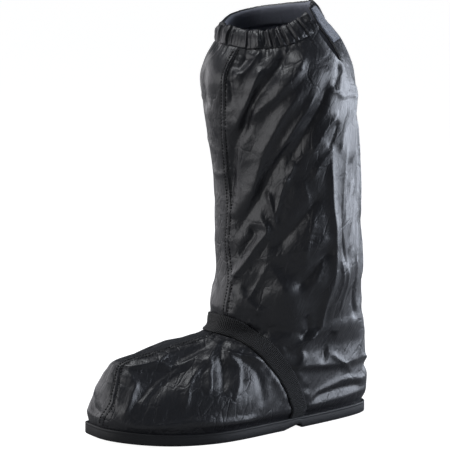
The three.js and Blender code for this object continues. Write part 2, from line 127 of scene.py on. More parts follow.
def quads(ids):
    """Four-sided faces between the neighbouring rows and columns of a grid of point numbers."""
    return np.stack([ids[:-1, :-1], ids[:-1, 1:], ids[1:, 1:], ids[1:, :-1]], -1).reshape(-1, 4)


# The frame's origin is under the middle of the whole cover: the shift to it, from the CAD sole
rim_angles = np.linspace(0, 2 * np.pi, RIM_SAMPLES)
_, sole_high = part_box("sole")
widest = outline(rim_angles, 0)[0].max()
SHIFT = np.array([sole_high.x * MILLIMETRES - widest, sole_high.y * MILLIMETRES - HALF, 0.0])


def piece(name, points, faces, body="root"):
    """Mesh of points in millimetres, moved to the frame's origin and made metres, smooth shaded,
    that rides on a body."""
    mesh = bpy.data.meshes.new(name)
    placed = (np.asarray(points).reshape(-1, 3) + SHIFT) / MILLIMETRES
    mesh.from_pydata(placed.tolist(), [], [face for group in faces for face in group.tolist()])
    mesh.shade_smooth()
    mesh.validate()
    made = bpy.data.objects.new(name, mesh)
    bpy.context.scene.collection.objects.link(made)
    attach(made, body)
    return made


def finish_of(name, colour, roughness, **sockets):
    """Principled material with its constant values on the shader's own sockets."""
    material = bpy.data.materials.new(name)
    material.use_nodes = True
    shader = material.node_tree.nodes["Principled BSDF"]
    shader.inputs["Base Color"].default_value = (*colour, 1)
    shader.inputs["Roughness"].default_value = roughness
    for socket, value in sockets.items():
        shader.inputs[socket.replace("_", " ").title().replace("Ior", "IOR")].default_value = value
    return material, material.node_tree, shader


def add_bump(tree, shader, height, strength, distance, below=None):
    """Bump of a height output on the shader's normal, on top of another bump if one is given."""
    bump = tree.nodes.new("ShaderNodeBump")
    bump.inputs["Strength"].default_value = strength
    bump.inputs["Distance"].default_value = distance
    tree.links.new(height, bump.inputs["Height"])
    if below is not None:
        tree.links.new(below, bump.inputs["Normal"])
    tree.links.new(bump.outputs["Normal"], shader.inputs["Normal"])
    return bump.outputs["Normal"]


def drawn_out(tree, place, lean, stretch):
    """A coordinate stretched along a line that leans back from upright by an angle in degrees."""
    mapping = tree.nodes.new("ShaderNodeMapping")
    mapping.vector_type = "TEXTURE"
    mapping.inputs["Rotation"].default_value = (-math.radians(lean), 0, 0)
    mapping.inputs["Scale"].default_value = (1, 1, stretch)
    tree.links.new(place, mapping.inputs["Vector"])
    return mapping.outputs["Vector"]


def noise(tree, scale, detail=3, roughness=0.5, distortion=0.0, lean=0, stretch=1):
    """Noise on object coordinates, in patches per metre, drawn out along a leaning line."""
    place = tree.nodes.new("ShaderNodeTexCoord")
    texture = tree.nodes.new("ShaderNodeTexNoise")
    texture.inputs["Scale"].default_value = scale
    texture.inputs["Detail"].default_value = detail
    texture.inputs["Roughness"].default_value = roughness
    texture.inputs["Distortion"].default_value = distortion
    tree.links.new(drawn_out(tree, place.outputs["Object"], lean, stretch), texture.inputs["Vector"])
    return texture.outputs["Fac"]


# Wall from the tread's edge up over the lip and down inside: inset, share of the way up
WALL_PROFILE = [
    (1.0, 0.0),
    (0.35, 0.03),
    (0.0, 0.1),
    (0.0, 0.4),
    (0.0, 0.7),
    (0.15, 0.76),
    (0.15, 0.79),
    (0.0, 0.83),
    (0.0, 0.92),
    (0.35, 0.985),
    (1.0, 1.0),
    (2.3, 1.0),
    (RIM_WALL, 0.96),
]
TIP_STEPS = 60
TIP_POWER = 2.2
LENGTH_STEPS = 620
END_SHARE = 0.002
ACROSS_STEPS = 26


def sole_mesh():
    """Wall profile carried round the outline, closed below by lines across the sole, whose height
    is the underside plus the grooves, and inside by the floor of the cup."""
    tips = np.pi / 2 * np.linspace(0, 1, TIP_STEPS) ** TIP_POWER
    evenly = np.arccos(1 - 2 * np.linspace(END_SHARE, 1 - END_SHARE, LENGTH_STEPS))
    near = tips[tips < evenly[0]]
    side = np.concatenate([near, evenly, np.pi - near[::-1]])
    count = len(side)
    angles = np.concatenate([side, 2 * np.pi - side[-2:0:-1]])
    rows = []
    for inset, share in WALL_PROFILE:
        x, y = outline(angles, inset)
        bottom, top = underside(y), toe_lift(y) + RIM_HEIGHT
        rows.append(np.stack([x, y, bottom + (top - bottom) * share], -1))
    x, y = outline(angles, RIM_WALL)
    rows.append(np.stack([x, y, toe_lift(y) + BASE_THICKNESS], -1))
    ring = len(angles)
    ids = np.arange(len(rows) * ring).reshape(-1, ring)
    wall = quads(np.concatenate([ids, ids[:, :1]], 1))
    points = [np.concatenate(rows)]
    faces = [wall]
    total = len(rows) * ring

    def fill(start, loop, groove, turned):
        """Lines from side to side across one loop of the wall, with a fan at toe and heel."""
        nonlocal total
        left = start + np.arange(1, count - 1)
        right = start + ring - np.arange(1, count - 1)
        a, b = loop[1 : count - 1], loop[ring - np.arange(1, count - 1)]
        t = np.linspace(0, 1, ACROSS_STEPS + 1)[1:-1][None, :, None]
        inner = a[:, None] + (b - a)[:, None] * t
        if groove:
            cut = TREAD_DEPTH * grooves(inner[..., 0], inner[..., 1])
            inner[..., 2] = underside(inner[..., 1]) + cut
        points.append(inner.reshape(-1, 3))
        numbers = total + np.arange(inner.shape[0] * inner.shape[1]).reshape(inner.shape[:2])
        total += numbers.size
        grid = np.concatenate([left[:, None], numbers, right[:, None]], 1)
        sheet = quads(grid)
        heel = np.full(ACROSS_STEPS, start + count - 1)
        toe_fan = np.stack([np.full(ACROSS_STEPS, start), grid[0, 1:], grid[0, :-1]], -1)
        heel_fan = np.stack([heel, grid[-1, :-1], grid[-1, 1:]], -1)
        for group in (sheet, toe_fan[:, ::-1], heel_fan[:, ::-1]):
            faces.append(group[:, ::-1] if turned else group)

    fill(0, rows[0], groove=True, turned=True)
    fill(total - ring, rows[-1], groove=False, turned=False)
    return np.concatenate(points), faces


def grooves(x, y):
    """Depth share of the cross grooves: 1 within half a groove of each groove's line, with short
    sloped sides, inside the tread's margin, and 0 elsewhere."""
    along = (y + HALF) / SOLE_LENGTH
    reach = outline(np.arccos(1 - 2 * along), TREAD_MARGIN)[0] - centre_line(y)
    depth = np.zeros_like(y)
    for start, end in TREADS:
        room = (end - start) * SOLE_LENGTH
        pitch = room / math.floor(room / TREAD_PITCH)
        from_line = np.abs((y + HALF - start * SOLE_LENGTH) % pitch - pitch / 2)
        within = (along > start) & (along < end)
        edge = (TREAD_GROOVE + GROOVE_BEVEL) / 2
        depth += within * np.clip((edge - from_line) / GROOVE_BEVEL, 0, 1)
    return depth * np.clip(reach - np.abs(x - centre_line(y)), 0, 1)


sole = piece("sole_cup", *sole_mesh())
rubber, tree, shader = finish_of("sole_rubber", RUBBER_BLACK, 0.52, specular_ior_level=0.38)
grain = noise(tree, 900, detail=2)
add_bump(tree, shader, grain, strength=0.25, distance=0.0002)
sole.data.materials.append(rubber)
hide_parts("sole")

# Insole: a thin flat sheet of dark lining cloth on board, cut to the outline of the sole. It lies
# loose on the floor of the cup, a little clear of its wall.
INSOLE_INSET = 4.6
INSOLE_CLEAR = 0.3
INSOLE_LOW = BASE_THICKNESS + INSOLE_CLEAR
INSOLE_THICKNESS = 1.5
INSOLE_STEPS = 121
LINING_GREY = (0.02, 0.02, 0.021)


def insole_mesh():
    """The outline drawn in, at the lining's lower and upper face, with each face filled by lines
    from side to side."""
    side = np.pi * np.linspace(0, 1, INSOLE_STEPS)
    angles = np.concatenate([side, 2 * np.pi - side[-2:0:-1]])
    x, y = outline(angles, INSOLE_INSET)
    low = np.stack([x, y, toe_lift(y) + INSOLE_LOW], -1)
    ring = len(angles)
    points = np.concatenate([low, low + [0, 0, INSOLE_THICKNESS]])
    ids = np.arange(2 * ring).reshape(2, ring)
    wall = quads(np.concatenate([ids, ids[:, :1]], 1))
    j = np.arange(ring // 2)
    a, b, c, d = j, j + 1, ring - j - 1, (ring - j) % ring
    strips = np.stack([a, b, c, d], -1)[1:-1]
    ends = np.array([[0, 1, ring - 1], [ring // 2 - 1, ring // 2, ring // 2 + 1]])
    return points, [wall, strips, ends, (strips + ring)[:, ::-1], (ends + ring)[:, ::-1]]


insole = piece("insole_sheet", *insole_mesh())
lining, tree, shader = finish_of("lining_cloth", LINING_GREY, 0.85, sheen_weight=0.15)
add_bump(tree, shader, noise(tree, 1400, detail=1), strength=0.4, distance=0.0003)
insole.data.materials.append(lining)
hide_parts("insole")

# Upper: one skin of thin coated cloth, sewn to a tube down its front and wrapped round foot and leg.
# It is split behind the outer side at the collar, creased all over where it has been folded and
# pulled by its elastics, and its lower edge goes down inside the rim of the sole.
WALL = 1.2
CLEAR = 0.3
INSTEP_HEIGHT = 102
COLLAR_LEVEL = 405
COLLAR_RISE = 28.5
SHAFT_DEPTH = 166
SHAFT_WIDTH = 144
HEEL_SETBACK = 12.5
SHAFT_REAR = HALF - HEEL_SETBACK
OPENING_DEPTH = 41
OPENING_LEVEL = COLLAR_LEVEL - OPENING_DEPTH
OPENING_ANGLE = 120
OUTER_SPREAD = 21
INNER_SPREAD = 25
CASING_HEIGHT = 15
CASING_LEVEL = COLLAR_LEVEL - CASING_HEIGHT
OPENING_FADE = 90
TIP_WIDTH, REAR_WIDTH = 0.92, 0.95
SPRING_FROM, SPRING_FADE = 0.2, 0.4
RISE_FROM, RISE_FADE = 0.75, 0.23
CLOTH_BLACK = (0.0102, 0.0106, 0.0132)
BACKING_GREY = (0.2, 0.21, 0.25)
# Level as a share of the instep height, front and back as shares of half the sole's length, half
# widths at toe, ball, arch and heel as shares of half the ball width, and the power of the sine
FOOT_ROWS = [
    (0.216, -0.991, 1.0, 0.897, 1.017, 0.845, 0.716, 0.55),
    (0.392, -0.966, 1.012, 0.828, 0.991, 0.845, 0.733, 0.57),
    (0.529, -0.948, 0.995, 0.707, 0.914, 0.845, 0.741, 0.58),
    (0.627, -0.92, 0.983, 0.586, 0.819, 0.845, 0.741, 0.58),
    (0.706, -0.892, 0.982, 0.483, 0.75, 0.845, 0.741, 0.58),
    (0.804, -0.812, 0.978, 0.448, 0.724, 0.845, 0.759, 0.58),
    (0.902, -0.498, 0.969, 0.466, 0.759, 0.862, 0.793, 0.6),
    (1.0, -0.206, 0.954, 0.534, 0.828, 0.914, 0.81, 0.62),
]
# The same for the shaft: level as a share of the way to the collar, front and back as shares of the
# shaft's depth before its rear line, half widths as shares of half its width
SHAFT_ROWS = [
    (0.04, 1.046, -0.011, 0.556, 0.736, 0.764, 0.667, 0.66),
    (0.092, 1.038, -0.004, 0.625, 0.806, 0.833, 0.694, 0.74),
    (0.191, 0.99, -0.022, 0.722, 0.917, 0.931, 0.75, 0.82),
    (0.323, 1.0, 0.0, 0.764, 0.958, 0.972, 0.778, 0.88),
    (0.521, 1.016, 0.033, 0.792, 0.986, 0.993, 0.792, 0.9),
    (0.686, 1.07, 0.06, 0.806, 1.007, 1.021, 0.819, 0.9),
    (0.785, 1.101, 0.064, 0.819, 1.028, 1.049, 0.833, 0.9),
    (0.845, 1.117, 0.099, 0.806, 1.014, 1.028, 0.819, 0.9),
    (0.898, 1.079, 0.173, 0.736, 0.917, 0.924, 0.736, 0.9),
    (0.95, 1.005, 0.286, 0.625, 0.792, 0.792, 0.625, 0.9),
    (1.0, 0.968, 0.357, 0.535, 0.674, 0.674, 0.535, 0.9),
]
# Rim of the collar: its rise, as a share of the collar's, at angles in degrees
RIM_ANGLES = [-70, -34, 10, 42, 68, 95, 120, 150, 190, 240, 290, 326, 370, 402]
RIM_RISES = [0.45, 0.25, 0.12, 0, 0.14, 0.55, 0.84, 1, 0.93, 0.76, 0.45, 0.25, 0.12, 0]
# Shares of a section's length at which its half widths are given
WIDTH_SHARES = np.array([0, 0.12, 0.35, 0.62, 0.88, 1])
STEP_UP, STEP_ROUND = 0.5, 0.02
SHORTEST = 1e-9

foot, shaft = np.array(FOOT_ROWS), np.array(SHAFT_ROWS)
foot_sizes = [INSTEP_HEIGHT, HALF, HALF, *[BALL_WIDTH / 2] * 4, 1]
shaft_sizes = [COLLAR_LEVEL - INSTEP_HEIGHT, -SHAFT_DEPTH, -SHAFT_DEPTH, *[SHAFT_WIDTH / 2] * 4, 1]
shaft_starts = [INSTEP_HEIGHT, SHAFT_REAR, SHAFT_REAR, 0, 0, 0, 0, 0]
SECTIONS = np.concatenate([foot * foot_sizes, shaft * shaft_sizes + shaft_starts])


def springing(level):
    """Share of the toe spring that the cloth follows: all of it by the sole, none at the instep."""
    return 1 - ease((level / INSTEP_HEIGHT - SPRING_FROM) / SPRING_FADE)


def skin(level, angle):
    """Outer face of the upper, in millimetres: at each level a section whose half width follows
    the table along its length times the sine of the angle to a power; below the rim of the sole
    it eases into the inside of the cup, and near the collar it rises to the rim's height."""
    level, angle = np.broadcast_arrays(np.asarray(level, float), np.asarray(angle, float))
    columns = [curve(SECTIONS[:, 0], SECTIONS[:, k], level) for k in range(1, 8)]
    front, back, toe, ball, arch, heel, power = columns
    widths = np.stack([TIP_WIDTH * toe, toe, ball, arch, heel, REAR_WIDTH * heel], -1)
    along = (1 - np.cos(angle)) / 2
    last = len(WIDTH_SHARES) - 1
    i = np.clip(np.searchsorted(WIDTH_SHARES, along) - 1, 0, last - 1)

    def width(k):
        return np.take_along_axis(widths, k[..., None], -1)[..., 0]

    def slope(k):
        low, high = np.maximum(k - 1, 0), np.minimum(k + 1, last)
        return (width(high) - width(low)) / (WIDTH_SHARES[high] - WIDTH_SHARES[low])

    span = WIDTH_SHARES[i + 1] - WIDTH_SHARES[i]
    t = (along - WIDTH_SHARES[i]) / span
    half = width(i) + (width(i + 1) - width(i)) * t * t * (3 - 2 * t)
    half = half + span * (t * (1 - t) ** 2 * slope(i) - t * t * (1 - t) * slope(i + 1))
    side = np.sin(angle)
    y = front + (back - front) * along
    x = centre_line(y) + half * np.sign(side) * np.abs(side) ** power
    rim = RIM_HEIGHT + CLEAR
    tucked = 1 - ease((level - rim) / (SECTIONS[0, 0] - rim))
    inside_x, inside_y = outline(angle, RIM_WALL + CLEAR)
    x, y = x + (inside_x - x) * tucked, y + (inside_y - y) * tucked
    up_shaft = (level - INSTEP_HEIGHT) / (COLLAR_LEVEL - INSTEP_HEIGHT)
    collaring = ease((up_shaft - RISE_FROM) / RISE_FADE)
    degrees = (np.degrees(angle) - RIM_ANGLES[0]) % 360 + RIM_ANGLES[0]
    rise = COLLAR_RISE * curve(RIM_ANGLES, RIM_RISES, degrees)
    return np.stack([x, y, level + springing(level) * toe_lift(y) + collaring * rise], -1)


def unit(vectors):
    """Vectors divided by their lengths."""
    return vectors / np.maximum(np.linalg.norm(vectors, axis=-1, keepdims=True), SHORTEST)


def normal_of(level, angle):
    """Outward normal of the skin, from its differences over a small step up and a small turn."""
    high = np.minimum(level + STEP_UP, COLLAR_LEVEL)
    round_it = skin(level, angle + STEP_ROUND) - skin(level, angle - STEP_ROUND)
    return unit(np.cross(round_it, skin(high, angle) - skin(level - STEP_UP, angle)))


def column_angle(share, level):
    """Angle at a share of the way round from the rear opening: above its foot the columns draw
    apart on both sides, by a spread that fades over a quarter turn."""
    base = OPENING_ANGLE + 360 * share
    opened = np.clip((level - OPENING_LEVEL) / (COLLAR_LEVEL - OPENING_LEVEL), 0, 1)
    from_start = 1 - ease((base - OPENING_ANGLE) / OPENING_FADE)
    from_end = 1 - ease((OPENING_ANGLE + 360 - base) / OPENING_FADE)
    turned = INNER_SPREAD * opened * from_start - OUTER_SPREAD * np.sqrt(opened) * from_end
    return np.radians(base + turned)


LATTICE = 32
LATTICE_SHIFT = 97.3


def lattice_noise(points, size, seed):
    """Smooth noise from −1 to 1: random values on a cubic lattice of that size, eased between."""
    values = np.random.default_rng(seed).uniform(-1, 1, (LATTICE, LATTICE, LATTICE))
    place = points / size + LATTICE_SHIFT
    cell = np.floor(place).astype(int)
    t = ease(place - cell)
    total = np.zeros(points.shape[:-1])
    for dx in (0, 1):
        for dy in (0, 1):
            for dz in (0, 1):
                corner = (cell + [dx, dy, dz]) % LATTICE
                weight = np.prod(np.where([dx, dy, dz], t, 1 - t), -1)
                total += weight * values[corner[..., 0], corner[..., 1], corner[..., 2]]
    return total


# Creases as in the photo: height over the skin, half width on each side, sharpness from 0,
# rounded, to 1, a knife edge, and the line's (angle, level) points. A trough's height is negative.
CREASES = [
    # Upper shaft, outer side: long folds from the opening down to the seam
    (3.0, 5, 12, 0.3, [(84, 382), (80, 374), (74, 364), (64, 352), (56, 340), (48, 331), (41, 322),
                       (32, 312)]),
    (-2.4, 5, 5, 0.2, [(74, 386), (68, 381), (58, 362), (46, 342), (38, 324), (31, 303)]),
    (2.2, 4, 7, 0.4, [(56, 374), (49, 364), (44, 350), (38, 334), (29, 314), (24, 300)]),
    (1.8, 4, 6, 0.5, [(50, 388), (48, 384), (40, 370), (34, 364), (27, 356)]),
    (-2.4, 6, 6, 0.1, [(40, 384), (36, 376), (31, 366)]),
    (-1.6, 4, 4, 0.1, [(28, 388), (26, 372), (27, 350), (25, 330)]),
    (2.2, 3, 7, 0.8, [(86, 347), (80, 338), (70, 316), (62, 298), (56, 286), (49, 270)]),
    (-3.0, 6, 7, 0.2, [(99, 360), (95, 351), (84, 327), (74, 305), (66, 286), (58, 268)]),
    (1.3, 3, 4, 0.8, [(92, 345), (100, 346), (108, 341), (120, 341), (134, 337)]),
    (3.2, 6, 10, 0.35, [(80, 358), (74, 349), (62, 325), (54, 304), (46, 285), (36, 247), (28, 226),
                        (22, 208)]),
    (-2.8, 6, 6, 0.2, [(44, 334), (37, 317), (22, 290), (14, 255), (12, 226)]),
    (2.2, 3, 6, 0.6, [(104, 328), (100, 323), (90, 310), (84, 298), (80, 291), (75, 280)]),
    (1.8, 3, 4, 0.7, [(97, 296), (94, 289), (87, 280), (81, 270), (77, 258)]),
    (-1.8, 4, 4, 0.2, [(104, 318), (98, 304), (92, 290)]),
    (-2.0, 4, 5, 0.2, [(118, 366), (108, 356), (98, 346)]),
    (1.6, 3, 5, 0.6, [(122, 330), (112, 316), (106, 300), (103, 284)]),
    # Middle of the shaft
    (2.4, 6, 5, 0.5, [(97, 296), (94, 279), (92, 262), (92, 234), (94, 208), (94, 181), (94, 157),
                      (96, 135), (96, 120)]),
    (-3.0, 7, 7, 0.2, [(66, 300), (61, 290), (51, 267), (41, 244), (24, 212), (18, 196)]),
    (-2.0, 6, 6, 0.2, [(86, 250), (78, 236), (66, 214), (56, 196), (48, 182)]),
    (1.8, 3, 4, 0.8, [(46, 250), (48, 242), (52, 219), (54, 208)]),
    (1.8, 4, 3, 0.8, [(62, 268), (59, 257), (56, 245), (52, 219)]),
    (1.8, 3, 4, 0.8, [(67, 278), (64, 270), (58, 254)]),
    (0.7, 3, 5, 0.7, [(70, 262), (73, 244), (76, 228)]),
    (2.8, 5, 5, 0.4, [(38, 226), (44, 215), (46, 206), (37, 191), (28, 176), (16, 160), (10, 150)]),
    (-2.0, 4, 4, 0.2, [(30, 214), (36, 204), (28, 190), (20, 178)]),
    (0.9, 4, 7, 0.6, [(80, 226), (78, 219), (72, 188), (70, 172)]),
    (1.2, 8, 6, 0.4, [(30, 172), (37, 178), (50, 182), (72, 188), (86, 198), (93, 208)]),
    (-2.2, 6, 6, 0.2, [(96, 192), (84, 178), (74, 160), (66, 146)]),
    (1.5, 8, 14, 0.3, [(44, 182), (46, 176), (52, 164), (60, 148), (68, 137)]),
    (1.1, 6, 3, 0.8, [(46, 176), (41, 158), (35, 136)]),
    (0.8, 3, 6, 0.6, [(86, 182), (84, 174), (80, 156), (76, 136)]),
    (0.6, 5, 6, 0.4, [(12, 158), (16, 160), (38, 164), (58, 164)]),
    (-0.8, 6, 6, 0.1, [(24, 150), (36, 148), (50, 150)]),
    # Ankle, above the strap
    (2.3, 13, 24, 0.1, [(56, 166), (57, 158), (66, 140), (70, 130), (72, 114), (78, 98), (90, 86)]),
    (2.2, 4, 5, 0.6, [(92, 160), (92, 153), (94, 124), (94, 98), (96, 82)]),
    (1.9, 3, 4, 0.6, [(93, 104), (94, 98), (105, 80), (106, 70), (104, 60)]),
    (-2.2, 5, 5, 0.2, [(112, 100), (115, 94), (119, 78), (118, 64)]),
    (-1.8, 4, 5, 0.3, [(124, 160), (128, 143), (134, 116), (136, 104)]),
    (1.2, 3, 4, 0.7, [(108, 24), (112, 26), (118, 36), (134, 43), (151, 39), (168, 40)]),
    (1.0, 3, 4, 0.7, [(108, 22), (112, 23), (130, 24), (156, 26), (176, 25)]),
    (-1.6, 3, 3, 0.2, [(112, 30), (130, 34), (154, 33)]),
    (1.2, 3, 3, 0.5, [(122, 76), (132, 62), (142, 50)]),
    (-1.5, 4, 4, 0.2, [(80, 122), (84, 108), (88, 96)]),
    (0.8, 1.6, 2.4, 0.8, [(34, 107), (30, 113), (25, 119)]),
    (0.9, 1.6, 2.4, 0.8, [(43, 104), (38, 111), (31, 119)]),
    (1.0, 1.8, 2.6, 0.8, [(53, 101), (46, 108), (39, 118)]),
    (0.9, 1.8, 2.6, 0.8, [(63, 97), (55, 104), (49, 113)]),
    (0.7, 1.6, 2.2, 0.8, [(25, 110), (20, 116), (16, 120)]),
    (1.2, 4, 9, 0.4, [(24, 146), (34, 138), (44, 129), (52, 122)]),
    # Outer rear of the shaft and the heel, behind the long fold
    (1.1, 3, 4, 0.6, [(116, 296), (110, 287), (104, 247), (100, 206), (97, 174)]),
    (1.1, 3, 4, 0.6, [(130, 318), (127, 305), (117, 266), (110, 236)]),
    (-1.3, 4, 5, 0.3, [(122, 250), (120, 220), (112, 190), (110, 160)]),
    (1.2, 3, 4, 0.6, [(132, 240), (126, 210), (122, 180), (124, 150)]),
    (1.0, 3, 3, 0.6, [(108, 170), (112, 140), (110, 112)]),
    (2.8, 4, 16, 0.3, [(134, 356), (131, 334), (127, 308), (120, 284), (114, 266)]),
    (2.6, 20, 4, 0.3, [(98, 68), (112, 65), (126, 62), (142, 61), (160, 63), (178, 66)]),
    (1.2, 2, 4, 0.9, [(112, 284), (108, 262), (106, 236), (104, 208)]),
    (1.2, 2, 4, 0.9, [(127, 264), (121, 236), (115, 204), (110, 176)]),
    (-1.2, 2, 3, 0.8, [(103, 246), (101, 218), (103, 186), (108, 164)]),
    (1.1, 2, 4, 0.9, [(136, 216), (129, 186), (121, 152), (116, 126)]),
    (1.1, 2, 4, 0.9, [(99, 180), (105, 152), (104, 124)]),
    # Front of the shaft, on the inner side of the seam
    (-1.8, 8, 8, 0.1, [(-6, 370), (-10, 345), (-8, 322)]),
    (0.6, 3, 5, 0.6, [(14, 268), (4, 262), (-8, 262), (-22, 268)]),
    (0.5, 4, 5, 0.5, [(-30, 300), (-14, 292), (0, 286), (12, 284)]),
    (0.9, 5, 7, 0.4, [(-26, 352), (-14, 340), (-4, 320), (4, 296)]),
    (-0.8, 6, 6, 0.2, [(-30, 244), (-18, 222), (-8, 196), (2, 168)]),
    (0.7, 4, 6, 0.5, [(-32, 204), (-20, 184), (-10, 160), (2, 136)]),
    (0.6, 4, 5, 0.5, [(-34, 150), (-18, 142), (-6, 130), (6, 122)]),
    # Vamp, below and ahead of the strap
    (1.5, 3, 4, 0.8, [(44, 101), (46, 98), (62, 88), (86, 78), (98, 50), (105, 22)]),
    (1.2, 3, 5, 0.8, [(48, 99), (54, 94), (76, 78), (78, 58), (75, 39), (72, 26)]),
    (1.5, 3, 5, 0.8, [(36, 99), (46, 94), (64, 81), (66, 66), (66, 57), (64, 44)]),
    (-1.3, 5, 5, 0.2, [(60, 96), (74, 86), (86, 65), (88, 42), (88, 28)]),
    (-2.2, 5, 5, 0.2, [(46, 98), (68, 82), (72, 64), (70, 44)]),
    (1.2, 3, 4, 0.5, [(54, 24), (60, 24), (76, 21), (90, 20)]),
    (1.7, 4, 7, 0.5, [(18, 79), (20, 76), (30, 62), (29, 52), (23, 20)]),
    (0.9, 3, 5, 0.6, [(24, 91), (36, 84), (50, 77), (54, 82), (50, 88), (40, 94)]),
    (-2.0, 12, 7, 0.2, [(40, 97), (42, 94), (48, 82), (50, 71), (38, 54), (31, 39), (26, 26)]),
    (1.3, 3, 5, 0.7, [(56, 76), (44, 62), (34, 41), (30, 33)]),
    (1.3, 3, 5, 0.7, [(64, 78), (61, 71), (58, 61), (56, 46), (54, 34)]),
    (1.1, 3, 5, 0.5, [(16, 18), (24, 19), (39, 18), (56, 25), (72, 30)]),
    (-1.8, 5, 5, 0.2, [(-14, 50), (-10, 46), (0, 28), (4, 20)]),
    (1.2, 3, 4, 0.6, [(16, 79), (22, 78), (30, 79), (40, 82)]),
    (1.3, 4, 4, 0.5, [(92, 62), (98, 44), (102, 30)]),
    # Inner side of shaft and foot
    (2.6, 6, 9, 0.4, [(300, 378), (288, 356), (272, 334), (256, 308), (240, 286)]),
    (-2.6, 6, 6, 0.2, [(310, 366), (298, 342), (282, 318), (266, 292)]),
    (2.2, 4, 7, 0.5, [(330, 352), (316, 330), (304, 304), (292, 276), (280, 254)]),
    (-2.2, 6, 6, 0.2, [(252, 372), (244, 350), (232, 326), (222, 300)]),
    (2.0, 4, 6, 0.5, [(236, 366), (226, 340), (212, 316), (206, 290)]),
    (2.4, 5, 8, 0.4, [(318, 280), (306, 252), (290, 228), (276, 202), (262, 184)]),
    (-2.6, 6, 6, 0.2, [(334, 268), (320, 244), (308, 216), (296, 192)]),
    (2.2, 4, 6, 0.6, [(262, 270), (256, 244), (246, 216), (240, 186), (242, 158)]),
    (-2.0, 5, 6, 0.2, [(250, 262), (240, 232), (230, 206), (226, 176)]),
    (1.9, 4, 6, 0.6, [(222, 276), (216, 246), (204, 216), (196, 190)]),
    (2.2, 5, 6, 0.5, [(326, 200), (310, 182), (294, 158), (284, 136), (280, 116)]),
    (-2.2, 5, 6, 0.2, [(336, 178), (320, 160), (306, 140), (298, 118)]),
    (1.8, 4, 5, 0.6, [(276, 176), (268, 150), (270, 126), (262, 104)]),
    (1.8, 3, 5, 0.6, [(240, 150), (246, 128), (242, 106), (250, 86), (248, 62)]),
    (-1.8, 5, 5, 0.2, [(222, 150), (228, 120), (224, 92)]),
    (2.2, 4, 6, 0.6, [(314, 97), (300, 88), (288, 78), (276, 56), (270, 30)]),
    (-2.4, 5, 6, 0.2, [(318, 96), (308, 84), (300, 66), (290, 42), (286, 24)]),
    (2.2, 4, 6, 0.5, [(326, 96), (322, 84), (318, 66), (312, 44), (306, 24)]),
    (-2.0, 5, 5, 0.2, [(334, 90), (334, 76), (330, 58), (326, 34)]),
    (1.7, 3, 5, 0.6, [(296, 92), (278, 84), (264, 66), (256, 40)]),
    (1.8, 3, 4, 0.6, [(268, 26), (250, 32), (232, 40), (214, 40)]),
    (1.6, 3, 4, 0.6, [(290, 22), (262, 22), (232, 24), (206, 24)]),
    # Back of the leg and heel
    (1.9, 4, 6, 0.5, [(186, 344), (178, 320), (182, 292), (176, 262), (180, 232)]),
    (-1.8, 5, 6, 0.2, [(166, 340), (162, 306), (164, 272), (158, 240)]),
    (1.9, 4, 5, 0.5, [(150, 326), (146, 296), (148, 262), (142, 230), (144, 196)]),
    (2.0, 4, 6, 0.5, [(206, 350), (200, 326), (202, 296), (194, 266)]),
    (-1.8, 5, 5, 0.2, [(192, 216), (188, 184), (192, 152), (186, 124)]),
    (1.8, 4, 5, 0.5, [(172, 226), (170, 192), (174, 160), (168, 126), (170, 96)]),
    (1.6, 4, 5, 0.5, [(204, 196), (202, 162), (206, 130), (204, 98)]),
    (1.8, 3, 5, 0.6, [(150, 66), (166, 58), (182, 62), (198, 56), (214, 60)]),
    (-1.7, 4, 5, 0.2, [(154, 56), (176, 48), (198, 48)]),
]
FOLD_DEPTH = 1.65
PATH_STEP = 0.8
FEWEST_STEPS = 8
KNOT_STEPS = 40
CREASE_REACH = 3.2
SAME_FACE = 0.1
SIDE_BLEND = 1.5
END_FADE = 0.22
KNIFE_FALL, KNIFE_ROUND, KNIFE_TOP = 2.2, 0.006, 0.077


def walked(path):
    """Distance walked along a line of points, from its first one."""
    return np.concatenate([[0], np.cumsum(np.linalg.norm(np.diff(path, axis=0), axis=1))])


